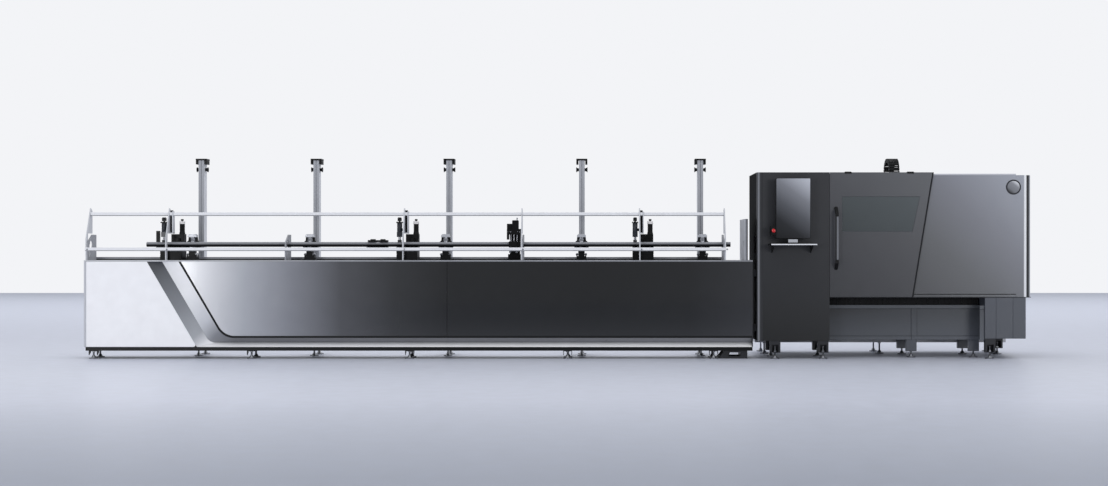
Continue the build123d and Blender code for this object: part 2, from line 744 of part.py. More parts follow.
def make_support_head():
    """A head at X 0, with an upright roller behind the tube and a carrying roller under it."""
    neck = block(middle(0, NECK), middle(HEAD_Y, NECK), (NECK_BOTTOM, NECK_TOP))
    plate_y = (HEAD_Y + CHEEK, HEAD_Y + HEAD_PLATE_BACK)
    half = HEAD_PLATE_WIDTH / 2
    points = [
        (-half, NECK_TOP),
        (half, NECK_TOP),
        (half, HEAD_PLATE_TOP - HEAD_CHAMFER),
        (half - HEAD_CHAMFER, HEAD_PLATE_TOP),
        (-half + HEAD_CHAMFER, HEAD_PLATE_TOP),
        (-half, HEAD_PLATE_TOP - HEAD_CHAMFER),
    ]
    plate = outline_xz(points, plate_y[0], plate_y[1] - plate_y[0])
    yoke = block(middle(0, HEAD_CAP_WIDTH), plate_y, (NECK_TOP, HEAD_CAP_BOTTOM))
    pocket = upright(0, HEAD_Y, (NECK_TOP - 1, HEAD_CAP_BOTTOM + 1), HEAD_ROLLER + RUN_GAP)
    cap_y = (HEAD_Y - HEAD_ROLLER + HEAD_CAP_SETBACK, plate_y[1])
    cap = block(middle(0, HEAD_CAP_WIDTH), cap_y, (HEAD_CAP_BOTTOM, HEAD_CAP_TOP))
    head = (plate + yoke - pocket) + upright(0, HEAD_Y, (NECK_TOP, HEAD_CAP_BOTTOM), HEAD_ROLLER)
    blocks = block(middle(0, HEAD_BLOCK_WIDTH), middle(HEAD_Y, NECK), (HEAD_BLOCK_BOTTOM, NECK_TOP))
    carry_y = (TUBE_Y - TUBE_RADIUS, HEAD_Y - NECK / 2)
    return neck.fuse(head, blocks, cap, along_y(0, carry_y, CARRY_Z, CARRY_ROLLER))


save("support_bases", Compound([make_support_base(x) for x in COLUMN_X]))
support_head = make_support_head()
for number, x in enumerate(COLUMN_X, 1):
    save(f"support_head_{number}", Pos(x, 0, 0) * support_head)


# Clamp units: a press in front over the tube and a driven stop behind it
def make_clamp_unit(x):
    """The fixed pieces of one station."""
    press_x = x + PRESS_X
    left_block = block(
        (press_x - PRESS_WIDTH / 2, x - POST_SHEET / 2), (UNIT_FRONT, POST_BACK), (DECK_TOP, TUBE_BOTTOM - RUN_GAP)
    )
    right_x = (x + UNIT_LEFT, x + UNIT_RIGHT)
    right_block = block(right_x, (UNIT_FRONT, UNIT_BACK), (DECK_TOP, TUBE_BOTTOM - RUN_GAP))
    wall_y = (UNIT_BACK - UNIT_WALL, UNIT_BACK)
    wall = block(right_x, wall_y, (TUBE_BOTTOM - RUN_GAP, UNIT_TOP))
    jaw = block(
        middle(x + (UNIT_LEFT + UNIT_RIGHT) / 2, PRESS_WIDTH),
        (TUBE_Y + TUBE_RADIUS + RUN_GAP, wall_y[0]),
        (TUBE_Z - TUBE_RADIUS / 2, UNIT_TOP - UNIT_WALL / 2),
    )
    motor_x = x + MOTOR_X
    tower = [
        right_block,
        wall,
        jaw,
        upright(motor_x, MOTOR_Y, (UNIT_TOP, MOTOR_BOTTOM), DISC_RADIUS),
        upright(motor_x, MOTOR_Y, (MOTOR_BOTTOM, MOTOR_TOP), MOTOR_RADIUS),
        upright(motor_x, MOTOR_Y, (MOTOR_TOP, DISC_TOP), DISC_RADIUS),
        upright(motor_x, MOTOR_Y, (DISC_TOP, KNOB_TOP), KNOB_RADIUS),
    ]
    body_x = middle(press_x, PRESS_WIDTH)
    body_y = middle(TUBE_Y, PRESS_WIDTH)
    body = upright(press_x, TUBE_Y, (PRESS_BODY_BOTTOM, PRESS_BODY_TOP), PRESS_WIDTH / 2)
    foot = block(body_x, body_y, (PRESS_BODY_BOTTOM, PRESS_BODY_BOTTOM + PRESS_WIDTH))
    flange_z = span(PRESS_BODY_TOP, PRESS_FLANGE_SHEET)
    flange = block(middle(press_x, PRESS_FLANGE), body_y, flange_z)
    neck = upright(press_x, TUBE_Y, (flange_z[1], PRESS_CAP_TOP - PRESS_CAP), PRESS_NECK)
    cap = block(middle(press_x, PRESS_CAP), middle(TUBE_Y, PRESS_CAP), (PRESS_CAP_TOP - PRESS_CAP, PRESS_CAP_TOP))
    arm = block(
        (press_x, x - POST_SHEET / 2), (TUBE_Y, TUBE_Y + PRESS_WIDTH / 2), (POST_CUT, POST_CUT + PRESS_WIDTH)
    )
    bore = upright(press_x, TUBE_Y, (PRESS_BODY_BOTTOM - 1, PRESS_PAD_TOP + PRESS_ROD_LENGTH + PRESS_WIDTH),
                   PRESS_ROD + FIT_GAP)
    press = body.fuse(foot, flange, neck, cap, arm) - bore
    return [left_block, tower[0].fuse(*tower[1:]), press]


def make_press(x):
    """The press's rod with the pad that holds the tube down."""
    press_x = x + PRESS_X
    pad = block(middle(press_x, PRESS_PAD), middle(TUBE_Y, PRESS_PAD), (TUBE_TOP + RUN_GAP, PRESS_PAD_TOP))
    rod = upright(press_x, TUBE_Y, span(PRESS_PAD_TOP, PRESS_ROD_LENGTH), PRESS_ROD)
    return pad + rod


units = [piece for x in STATION_X for piece in make_clamp_unit(x)]
save("clamp_units", Compound(units))
for number, x in enumerate(STATION_X, 1):
    save(f"clamp_press_{number}", make_press(x))


def make_gripper():
    """The gripper that pulls the tube along, on a saddle over the guide rail."""
    left = GRIPPER_X - GRIPPER_WIDTH / 2
    right = GRIPPER_X + GRIPPER_WIDTH / 2
    depth = (GRIPPER_FRONT, GRIPPER_BACK)
    jaw_x = (left + 22, right)
    jaw = block(jaw_x, depth, (GRIPPER_BASE_BOTTOM, GRIPPER_BASE_TOP))
    jaw = jaw - along_x((jaw_x[0] - 1, jaw_x[1] + 1), TUBE_Y, TUBE_Z, GRIPPER_BORE)
    body = block((left, right), depth, (GRIPPER_BODY_BOTTOM, GRIPPER_BODY_TOP))
    right_leg = block((right - 22, right), depth, (GRIPPER_BASE_TOP, GRIPPER_BODY_BOTTOM))
    left_leg = block((left, left + 20), depth, (GRIPPER_BODY_BOTTOM - 55, GRIPPER_BODY_BOTTOM))
    head = block((left + 56, right - 26), depth, (GRIPPER_BODY_TOP, GRIPPER_HEAD_TOP))
    box = block((left, left + 53), (depth[0] + 20, depth[1]), (GRIPPER_BODY_TOP, GRIPPER_BODY_TOP + 55))
    knob = upright(right - 42, TUBE_Y, (GRIPPER_HEAD_TOP, GRIPPER_HEAD_TOP + 28), 8)
    rods = [
        upright(x, TUBE_Y, (GRIPPER_BASE_TOP - 4, GRIPPER_BODY_BOTTOM), 8)
        for x in (left + 40, GRIPPER_X, right - 40)
    ]
    wheels = []
    for x in (left + 33, left + 104):
        bracket = block(middle(x, 10), middle(TUBE_Y, 30), (GRIPPER_BASE_BOTTOM - 46, GRIPPER_BASE_BOTTOM))
        wheels += [bracket, along_y(x, middle(TUBE_Y, 50), GRIPPER_BASE_BOTTOM - 46, 12)]
    back_y = (GUIDE_Y - GUIDE_WIDTH / 2 - RUN_GAP - SADDLE_SIDE, GUIDE_Y + GUIDE_WIDTH / 2 + RUN_GAP + SADDLE_SIDE)
    arm = block((left, right), (GRIPPER_BACK, back_y[1]), (GRIPPER_BODY_BOTTOM, GRIPPER_BODY_TOP))
    riser = block((left + 20, right - 20), (back_y[0], back_y[1]), (GUIDE_TOP + RUN_GAP + SADDLE_HEIGHT, GRIPPER_BODY_BOTTOM))
    saddle = block((left, right), back_y, (GUIDE_TOP - GUIDE_HEAD, GUIDE_TOP + RUN_GAP + SADDLE_HEIGHT))
    channel = block(
        (left - 1, right + 1),
        (back_y[0] + SADDLE_SIDE, back_y[1] - SADDLE_SIDE),
        (GUIDE_TOP - GUIDE_HEAD - 1, GUIDE_TOP + RUN_GAP),
    )
    pieces = [body, right_leg, left_leg, head, box, knob, arm, riser, saddle - channel] + rods + wheels
    return jaw.fuse(*pieces)


def make_tube_rest():
    """Two plates under and over the tube, hung on the lower fence rail."""
    width = middle(REST_X, REST_WIDTH)
    bottom = block(width, (POST_FRONT, REST_BACK), (REST_BOTTOM, TUBE_BOTTOM - RUN_GAP))
    back = block(width, (REST_BACK - REST_STEP, REST_BACK), (REST_BOTTOM, TUBE_TOP + RUN_GAP + 2 * REST_STEP))
    level = TUBE_TOP + RUN_GAP
    pieces = [back]
    for side in (-1, 1):
        low = REST_X + side * REST_WIDTH / 2
        inner = REST_X + side * 2 * REST_STEP
        x = (min(low, inner), max(low, inner))
        front = TUBE_Y - TUBE_RADIUS - REST_STEP
        pieces.append(block(x, (front, REST_BACK - REST_STEP), (level, level + 2 * REST_STEP)))
        bolt_x = REST_X + side * REST_WIDTH / 4
        pieces.append(block(middle(bolt_x, REST_WIDTH / 4), middle(TUBE_Y, 30), span(level + 2 * REST_STEP, REST_STEP)))
    return bottom.fuse(*pieces)


save("feed_gripper", make_gripper())
save("tube_rest", make_tube_rest())

entry_y = (ENTRY_FRONT, ENTRY_BACK)
entry = block(span(ENTRY_X, ENTRY_SHEET), entry_y, (DECK_TOP, ENTRY_TOP))
save("entry_guide", entry - along_x((ENTRY_X - 1, ENTRY_X + ENTRY_SHEET + 1), TUBE_Y, TUBE_Z, ENTRY_HOLE))


# The stand at the bed's right end
def make_end_stand():
    """A short welded stand with one slanted leg."""
    left = STAND_LEFT
    right = STAND_LEFT + STAND_LENGTH
    points = [(left, 0), (left + 60, TRAY_BOTTOM), (right, TRAY_BOTTOM), (right, 0)]
    stand = outline_xz(points, BED_FRONT + 30, BED_DEPTH - 100)
    window = [(left + 105, 24), (left + 120, 64), (right - 72, 64), (right - 72, 24)]
    return stand - outline_xz(window, BED_FRONT, BED_DEPTH)


save("end_stand", make_end_stand())


# The enclosure's shell
def rounded_cover(x, y, z, radius, corner_x):
    """A sheet cover, open at the back, with one upright corner rounded."""
    cover = block(x, y, z)
    edge = cover.edges().filter_by(Axis.Z).sort_by_distance((corner_x, y[0], z[0]))[0]
    return fillet(edge, radius)


def make_front_cover():
    """The cover left of the door, with a rounded left corner."""
    x = (ENCLOSURE_LEFT, COVER_RIGHT)
    y = span(ENCLOSURE_FRONT, COVER_RETURN)
    z = (SHELL_BOTTOM, SHELL_TOP)
    outer = rounded_cover(x, y, z, COVER_ROUND, ENCLOSURE_LEFT)
    inner = rounded_cover(
        (x[0] + SHELL, x[1] - SHELL), (y[0] + SHELL, y[1] + 1), (z[0] + SHELL, z[1] - SHELL),
        COVER_ROUND - SHELL, ENCLOSURE_LEFT + SHELL,
    )
    cut_back = block((x[1] - SHELL - 1, x[1] + 1), (y[0] + DOOR_SHEET, y[1] + 1), (z[0] - 1, z[1] + 1))
    return outer - inner - cut_back


def make_right_panel():
    """The fixed front panel right of the door, with a rounded right corner."""
    slope = (DOOR_TOP_RIGHT - DOOR_BOTTOM_RIGHT) / (SHELL_TOP - DOOR_BOTTOM)
    left_top = DOOR_TOP_RIGHT - (SHELL_TOP - ROOF_TOP) * slope - PANEL_LAP
    left_bottom = DOOR_BOTTOM_RIGHT + DOOR_RAIL_HEIGHT * slope - PANEL_LAP
    x = (left_bottom, RIGHT_END)
    y = (deep(PANEL_SETBACK), deep(PANEL_WRAP))
    z = (DOOR_BOTTOM, ROOF_TOP)
    outer = rounded_cover(x, y, z, PANEL_CORNER - SHELL, RIGHT_END)
    inner = rounded_cover(
        (x[0] - 1, x[1] - SHELL), (y[0] + SHELL, y[1] + 1), (z[0] - 1, z[1] + 1),
        PANEL_CORNER - 2 * SHELL, RIGHT_END - SHELL,
    )
    waste = [
        (left_bottom - 1, PANEL_BOTTOM - 1),
        (left_bottom, PANEL_BOTTOM),
        (left_top, z[1]),
        (left_top, z[1] + 1),
        (left_bottom - 1, z[1] + 1),
    ]
    notch_x = (left_bottom - 1, DOOR_RAIL_RIGHT + RUN_GAP)
    notch = block(notch_x, (y[0] - 1, y[1] + 1), (z[0] - 1, PANEL_BOTTOM))
    return outer - inner - notch - outline_xz(waste, y[0] - 1, PANEL_WRAP)


wall_y = (deep(COVER_RETURN), SHELL_BACK)


def make_left_wall():
    """Four sheets that leave a square opening for the tube between them."""
    x = span(ENCLOSURE_LEFT, SHELL)
    hole_y = middle(TUBE_Y, 2 * WALL_HOLE)
    hole_z = middle(TUBE_Z, 2 * WALL_HOLE)
    below = block(x, wall_y, (SHELL_BOTTOM, hole_z[0]))
    above = block(x, wall_y, (hole_z[1], SHELL_TOP))
    front = block(x, (wall_y[0], hole_y[0]), hole_z)
    return Compound([below, above, front, block(x, (hole_y[1], wall_y[1]), hole_z)])


save("left_wall", make_left_wall())
right_y = (deep(PANEL_WRAP), SHELL_BACK)
save("right_wall", block((RIGHT_END - SHELL, RIGHT_END), right_y, (FLOOR_TOP - FLOOR_SHEET, ROOF_TOP)))
between_x = (ENCLOSURE_LEFT + SHELL, RIGHT_END - SHELL)


def make_roof():
    """The roof sheet, with an upstand behind the front cover's top edge."""
    z = (ROOF_TOP - ROOF_SHEET, ROOF_TOP)
    back = SHELL_BACK - SHELL
    sheet = block((between_x[0], COVER_RIGHT), (deep(COVER_RETURN), back), z)
    strip_x = (COVER_RIGHT - SHELL, RIGHT_END - SHELL)
    strip = rounded_cover(strip_x, (deep(PANEL_SETBACK + SHELL), back), z, PANEL_CORNER - 2 * SHELL, strip_x[1])
    upstand_y = span(deep(COVER_RETURN), SHELL)
    upstand = block((between_x[0], COVER_RIGHT - SHELL), upstand_y, (ROOF_TOP, SHELL_TOP))
    return sheet + strip + upstand


save("roof", make_roof())
save("back_wall", block(between_x, (SHELL_BACK - SHELL, SHELL_BACK), (FLOOR_TOP - FLOOR_SHEET, ROOF_TOP)))
save("front_cover", make_front_cover())
save("right_panel", make_right_panel())
badge_y = (deep(PANEL_SETBACK) - BADGE_SHEET, deep(PANEL_SETBACK))
save("badge_disc", along_y(BADGE_X, badge_y, BADGE_Z, BADGE_RADIUS))


# The sliding door and what it carries
DOOR_LEFT = COVER_RIGHT + DOOR_LEFT_GAP


def door_right(z):
    """X of the door's slanted right edge at a height."""
    share = (z - DOOR_BOTTOM) / (SHELL_TOP - DOOR_BOTTOM)
    return DOOR_BOTTOM_RIGHT + share * (DOOR_TOP_RIGHT - DOOR_BOTTOM_RIGHT)


def window_points(grow):
    """The window's outline, larger by a margin all round."""
    return [
        (WINDOW_LEFT - grow, WINDOW_BOTTOM - grow),
        (WINDOW_BOTTOM_RIGHT + grow, WINDOW_BOTTOM - grow),
        (WINDOW_TOP_RIGHT + grow, WINDOW_TOP + grow),
        (WINDOW_LEFT - grow, WINDOW_TOP + grow),
    ]


def make_door():
    """A folded door leaf with a window and a notch for each hanger."""
    points = [
        (DOOR_LEFT, DOOR_BOTTOM),
        (DOOR_BOTTOM_RIGHT, DOOR_BOTTOM),
        (DOOR_TOP_RIGHT, SHELL_TOP),
        (DOOR_LEFT, SHELL_TOP),
    ]
    leaf = outline_xz(points, ENCLOSURE_FRONT, DOOR_SHEET)
    leaf = leaf - outline_xz(window_points(0), ENCLOSURE_FRONT - 1, DOOR_SHEET + 2)
    for x in HANGER_X:
        notch_y = (ENCLOSURE_FRONT - 1, ENCLOSURE_FRONT + DOOR_SHEET + 1)
        leaf = leaf - block(middle(x, HANGER_WIDTH), notch_y, (SHELL_TOP - HANGER_DROP, SHELL_TOP + 1))
    return leaf


def make_runners():
    """Two hangers over the top rail and two slide pads at the foot."""
    hanger_z = (SHELL_TOP - HANGER_DROP, SHELL_TOP + HANGER_RISE)
    pieces = [block(middle(x, HANGER_WIDTH), (ENCLOSURE_FRONT, HANGER_BACK), hanger_z) for x in HANGER_X]
    pad_y = (ENCLOSURE_FRONT + DOOR_SHEET, deep(PANEL_SETBACK) - RUN_GAP)
    pad_z = middle(DOOR_BOTTOM + DOOR_RAIL_HEIGHT / 2, DOOR_RAIL_HEIGHT / 2)
    pad_x = [DOOR_LEFT + HANGER_WIDTH, DOOR_BOTTOM_RIGHT - HANGER_WIDTH]
    pieces += [block(middle(x, HANGER_WIDTH), pad_y, pad_z) for x in pad_x]
    return Compound(pieces)


def make_handle():
    """A flat bow handle, bent back to the door at both ends."""
    face = ENCLOSURE_FRONT
    grip = face - HANDLE_REACH
    inner = grip + HANDLE_THICKNESS
    points = [
        (face, HANDLE_BOTTOM),
        (grip, HANDLE_BOTTOM + HANDLE_BEND),
        (grip, HANDLE_TOP - HANDLE_BEND),
        (face, HANDLE_TOP),
        (face, HANDLE_TOP - HANDLE_THICKNESS),
        (inner, HANDLE_TOP - HANDLE_BEND - HANDLE_THICKNESS / 2),
        (inner, HANDLE_BOTTOM + HANDLE_BEND + HANDLE_THICKNESS / 2),
        (face, HANDLE_BOTTOM + HANDLE_THICKNESS),
    ]
    return outline_yz(points, HANDLE_X - HANDLE_WIDTH / 2, HANDLE_WIDTH)


window_y = ENCLOSURE_FRONT + (DOOR_SHEET - WINDOW_SHEET) / 2
rail_x = (DOOR_LEFT, DOOR_RAIL_RIGHT)
rail_top = (ROOF_TOP, SHELL_TOP - HANGER_DROP - RUN_GAP)
rail_low_y = (deep(PANEL_SETBACK), DOOR_RAIL_BACK)
rails = [
    block(rail_x, (TOP_RAIL_FRONT, TOP_RAIL_BACK), rail_top),
    block(rail_x, rail_low_y, span(DOOR_BOTTOM, DOOR_RAIL_HEIGHT)),
]
save("sliding_door", make_door())
save("door_window", outline_xz(window_points(0), window_y, WINDOW_SHEET))
save("door_runners", make_runners())
save("door_handle", make_handle())
save("door_rails", Compound(rails))


# The control panel
def make_screen():
    """The touch screen's housing, with the two ears that hold the pin."""
    x = span(SCREEN_LEFT, SCREEN_WIDTH)
    z = span(SCREEN_BOTTOM, SCREEN_HEIGHT)
    housing = block(x, span(SCREEN_FRONT, SCREEN_DEPTH), z)
    housing = fillet(housing.edges().filter_by(Axis.Y), SCREEN_ROUND)
    pin_x = SCREEN_LEFT + SCREEN_WIDTH / 2
    pin_y = SCREEN_FRONT + SCREEN_DEPTH + 2 * BRACKET_PIN
    ear_y = (SCREEN_FRONT + SCREEN_DEPTH, pin_y + BRACKET_PIN)
    hole = upright(pin_x, pin_y, (SCREEN_BOTTOM, SCREEN_BOTTOM + SCREEN_HEIGHT), BRACKET_PIN / 2 + FIT_GAP)
    for side in (-1, 1):
        ear_z = middle(BRACKET_Z + side * (BRACKET_SPAN / 2 + BRACKET_PIN), 2 * BRACKET_PIN - 2 * RUN_GAP)
        housing = housing + (block(middle(pin_x, 3 * BRACKET_PIN), ear_y, ear_z) - hole)
    return housing


def make_bracket():
    """The wall plate, its arm and pin, and the stop button's collar arm."""
    pin_x = SCREEN_LEFT + SCREEN_WIDTH / 2
    pin_y = SCREEN_FRONT + SCREEN_DEPTH + 2 * BRACKET_PIN
    plate = block(middle(pin_x, BRACKET_PLATE), (ENCLOSURE_FRONT - BRACKET_PIN, ENCLOSURE_FRONT), middle(BRACKET_Z, BRACKET_PLATE))
    arm = block(middle(pin_x, 3 * BRACKET_PIN), (pin_y - BRACKET_PIN, ENCLOSURE_FRONT - BRACKET_PIN), middle(BRACKET_Z, BRACKET_SPAN))
    pin_z = middle(BRACKET_Z, BRACKET_SPAN + 4 * BRACKET_PIN)
    return plate.fuse(arm, upright(pin_x, pin_y, pin_z, BRACKET_PIN / 2))


STOP_HOUSE = 46.0
STOP_HOUSE_RIGHT = SCREEN_LEFT - RUN_GAP * 10


def make_shelf():
    """The keyboard shelf, its two ribs and the box that holds the stop button."""
    x = span(SHELF_LEFT, SHELF_WIDTH)
    y = (ENCLOSURE_FRONT - SHELF_REACH, ENCLOSURE_FRONT)
    board = block(x, y, span(SHELF_BOTTOM, SHELF_SHEET))
    pieces = []
    for rib_x in (x[0] + SHELF_RIB, x[1] - SHELF_RIB):
        points = [
            (y[1], SHELF_BOTTOM - SHELF_RIB * 2),
            (y[1], SHELF_BOTTOM),
            (y[0] + SHELF_RIB, SHELF_BOTTOM),
            (y[0] + SHELF_RIB, SHELF_BOTTOM - SHELF_SHEET / 2),
        ]
        pieces.append(outline_yz(points, rib_x - SHELF_SHEET / 4, SHELF_SHEET / 2))
    block_x = (SCREEN_LEFT + 114, SCREEN_LEFT + 228)
    pieces.append(block(block_x, (y[0] + SHELF_RIB, y[0] + 3 * SHELF_RIB), (SHELF_BOTTOM + SHELF_SHEET, SCREEN_BOTTOM - SHELF_SHEET)))
    return board.fuse(*pieces)


def make_stop_house():
    """A small box on the front cover that holds the stop button."""
    x = (STOP_HOUSE_RIGHT - STOP_HOUSE, STOP_HOUSE_RIGHT)
    front = SCREEN_FRONT
    house = block(x, (front, ENCLOSURE_FRONT), middle(STOP_Z, STOP_HOUSE * 2))
    button_x = (x[0] + x[1]) / 2
    hole = along_y(button_x, (front - 1, front + SCREEN_DEPTH), STOP_Z, STOP_STEM + FIT_GAP)
    return house - hole


def make_stop_button():
    """The mushroom head and its stem."""
    x = STOP_HOUSE_RIGHT - STOP_HOUSE / 2
    face = SCREEN_FRONT - STOP_TRAVEL_GAP
    head = along_y(x, (face - STOP_COLLAR, face), STOP_Z, STOP_RADIUS)
    stem = along_y(x, (face, SCREEN_FRONT + SCREEN_DEPTH / 2), STOP_Z, STOP_STEM)
    return head + stem


save("touch_screen", make_screen())
save("screen_mount", Compound([make_bracket(), make_stop_house()]))
save("stop_button", make_stop_button())
save("keyboard_shelf", make_shelf())


# The machine base, the chamber floor, the bin and the cabinets
def make_leg(x, front, top):
    """A leg box with a window where the levelling foot's nut sits."""
    y = span(front, LEG_DEPTH)
    leg = block(middle(x, LEG_WIDTH), y, (LEG_BOTTOM, top))
    window = block(middle(x, LEG_CUT), (y[0] - 1, y[1] + 1), span(LEG_BOTTOM + LEG_LIP, LEG_CUT_HEIGHT))
    hole = upright(x, front + LEG_DEPTH / 2, (LEG_BOTTOM - 1, LEG_BOTTOM + LEG_LIP + 1), STEM_RADIUS + FIT_GAP * 4)
    return leg - window - hole


def make_machine_base():
    """The welded pedestal that carries the chuck, on four legs."""
    y = (ENCLOSURE_FRONT + SHELL, BASE_BACK)
    x = (BASE_LEFT, COVER_RIGHT - SHELL)
    box = hollow(x, y, (SHELL_BOTTOM + SHELL, PEDESTAL_TOP), BASE_PLATE)
    return box + block(x, (deep(COVER_RETURN), BASE_BACK), (SHELL_BOTTOM, SHELL_BOTTOM + SHELL))


front_leg_y = ENCLOSURE_FRONT + SHELL
leg_places = [(x, front_leg_y, SHELL_BOTTOM) for x in FRONT_LEG_X]
leg_places += [(x, REAR_LEG_Y, SHELL_BOTTOM) for x in FRONT_LEG_X]
leg_places += [(x, BIN_FRONT, SHELL_BOTTOM) for x in BIN_LEG_X]
leg_places += [(x, BASE_BACK - LEG_DEPTH, SHELL_BOTTOM) for x in BIN_LEG_X]
leg_places += [(CABINET_LEG_X, CABINET_FRONT, CABINET_BOTTOM)]
leg_places += [(CABINET_RIGHT - LEG_WIDTH, BASE_BACK - LEG_DEPTH, CABINET_BOTTOM)]
save("machine_base", make_machine_base())
save("machine_legs", Compound([make_leg(x, y, top) for x, y, top in leg_places]))

floor_x = (COVER_RIGHT - SHELL, RIGHT_END - SHELL)
floor_y = (DOOR_RAIL_BACK, SHELL_BACK - SHELL)
floor_z = (FLOOR_TOP - FLOOR_SHEET, FLOOR_TOP)
floor = block(floor_x, floor_y, floor_z)
floor = floor + block(floor_x, (deep(PANEL_SETBACK), DOOR_RAIL_BACK), floor_z)
chute = block((CHUTE_LEFT, CHUTE_RIGHT), (CHUTE_FRONT, CHUTE_BACK), (floor_z[0] - 1, floor_z[1] + 1))
save("chamber_floor", floor - chute)


def make_bin():
    """The open catch bin, with a turned rim and a seam between its front panels."""
    x = (BIN_LEFT, BIN_RIGHT)
    y = (BIN_FRONT, BASE_BACK)
    shell = hollow(x, y, (SHELL_BOTTOM, BIN_TOP), BIN_SHEET, open_top=True)
    rim = block(x, (BIN_FRONT - BIN_RIM_STEP, BIN_FRONT), (BIN_TOP - BIN_RIM, BIN_TOP))
    foot = block(x, (BIN_FRONT - BIN_RIM_STEP, BIN_FRONT), span(SHELL_BOTTOM, BIN_RIM))
    seam = block(middle(BIN_SEAM_X, SEAM), (BIN_FRONT - BIN_RIM_STEP - 1, BIN_FRONT + SEAM), (SHELL_BOTTOM - 1, BIN_TOP + 1))
    return shell + rim + foot - seam


def make_right_cabinet():
    """The closed cabinet at the right, with a door seam on its front."""
    x = (CABINET_LEFT, CABINET_RIGHT)
    y = (CABINET_FRONT, BASE_BACK)
    z = (CABINET_BOTTOM, FLOOR_TOP - FLOOR_SHEET)
    seam = block(middle(CABINET_SEAM_X, SEAM), (y[0] - 1, y[0] + SEAM_DEPTH / 2), (z[0] - 1, z[1] + 1))
    return hollow(x, y, z, SEAM_DEPTH) - seam


def make_rear_cabinet():
    """A closed sheet cabinet with door seams, louvres and a duct collar on top."""
    x = (REAR_LEFT, REAR_RIGHT)
    y = span(SHELL_BACK, REAR_DEPTH)
    z = (REAR_BOTTOM, REAR_TOP)
    body = hollow(x, y, z, REAR_SHEET)
    width = (x[1] - x[0]) / REAR_DOORS
    cuts = []
    for number in range(REAR_DOORS):
        if number:
            line = x[0] + number * width
            cuts.append(block(middle(line, SEAM), (y[1] - REAR_SHEET / 2, y[1] + 1), (z[0] + SEAM * 10, z[1] - SEAM * 10)))
        centre = x[0] + (number + 0.5) * width
        for row in range(LOUVRE_COUNT):
            low = z[0] + width / 4 + row * LOUVRE_PITCH
            cuts.append(block(middle(centre, LOUVRE_WIDTH), (y[1] - REAR_SHEET / 2, y[1] + 1), span(low, LOUVRE_HEIGHT)))
    body = body - cuts
    duct_y = (y[0] + y[1]) / 2
    collar = upright(DUCT_X, duct_y, span(REAR_TOP, DUCT_LENGTH), DUCT_RADIUS)
    mouth = upright(DUCT_X, duct_y, (REAR_TOP - REAR_SHEET - 1, REAR_TOP + DUCT_LENGTH + 1), DUCT_RADIUS - REAR_SHEET)
    return body + collar - mouth


save("catch_bin", make_bin())
save("right_base_cabinet", make_right_cabinet())
save("rear_cabinet", make_rear_cabinet())


# The chuck and the cutting unit
def make_chuck_housing():
    """The bearing housing that the chuck turns in."""
    x = span(CHUCK_LEFT, CHUCK_HOUSING)
    house = block(x, middle(TUBE_Y, 2 * CHUCK_RADIUS), (PEDESTAL_TOP, TUBE_Z + CHUCK_RADIUS))
    return house - along_x((x[0] - 1, x[1] + 1), TUBE_Y, TUBE_Z, CHUCK_SHAFT + FIT_GAP)


def make_chuck():
    """The chuck's face plate with four jaws and its hollow shaft."""
    shaft_x = span(CHUCK_LEFT, CHUCK_HOUSING + RUN_GAP)
    face_x = span(shaft_x[1], CHUCK_FACE)
    body = along_x(shaft_x, TUBE_Y, TUBE_Z, CHUCK_SHAFT) + along_x(face_x, TUBE_Y, TUBE_Z, CHUCK_RADIUS)
    body = body - along_x((shaft_x[0] - 1, face_x[1] + 1), TUBE_Y, TUBE_Z, CHUCK_BORE)
    jaw_low = TUBE_Z + TUBE_RADIUS + RUN_GAP
    jaw = block(span(face_x[1], JAW_LENGTH), middle(TUBE_Y, JAW_WIDTH), (jaw_low, TUBE_Z + CHUCK_RADIUS * 0.8))
    for turn in range(4):
        placed = Pos(0, TUBE_Y, TUBE_Z) * Rot(turn * 90, 0, 0) * Pos(0, -TUBE_Y, -TUBE_Z) * jaw
        body = body + placed
    return body


def make_gantry_beam():
    """The beam at the back of the chamber, with two tracks on its face."""
    beam_y = (BEAM_FRONT, SHELL_BACK - SHELL)
    beam = hollow((BEAM_LEFT, BEAM_RIGHT), beam_y, (FLOOR_TOP, BEAM_TOP), BEAM_PLATE)
    for z in TRACK_Z:
        beam = beam + block((BEAM_LEFT, BEAM_RIGHT), (BEAM_FRONT - TRACK, BEAM_FRONT), middle(z, TRACK))
    return beam


def make_carriage():
    """The carriage that runs on the tracks and reaches forward over the tube."""
    x = middle(CARRIAGE_X, CARRIAGE_WIDTH)
    plate_back = BEAM_FRONT - TRACK - RUN_GAP
    plate_front = plate_back - CARRIAGE_SHEET
    plate = block(x, (plate_front, plate_back), (CARRIAGE_BOTTOM, CARRIAGE_TOP))
    pieces = []
    for z in TRACK_Z:
        for side in (-1, 1):
            low = z + side * (TRACK + TRACK / 2 + 2 * RUN_GAP) / 2
            size = TRACK / 2
            pieces.append(block(x, (plate_back, BEAM_FRONT - RUN_GAP), middle(low, size)))
    arm = block(middle(CARRIAGE_X, ARM_THICKNESS), (ARM_FRONT, plate_front), (ARM_BOTTOM, CARRIAGE_TOP))
    nose_z = (ARM_BOTTOM - NOSE_DROP, CARRIAGE_TOP + NOSE_DROP)
    nose = block(middle(CARRIAGE_X, SLIDE_WIDTH + 2 * NOSE_SIDE), span(ARM_FRONT, NOSE_DROP), nose_z)
    return plate.fuse(arm, nose, *pieces)


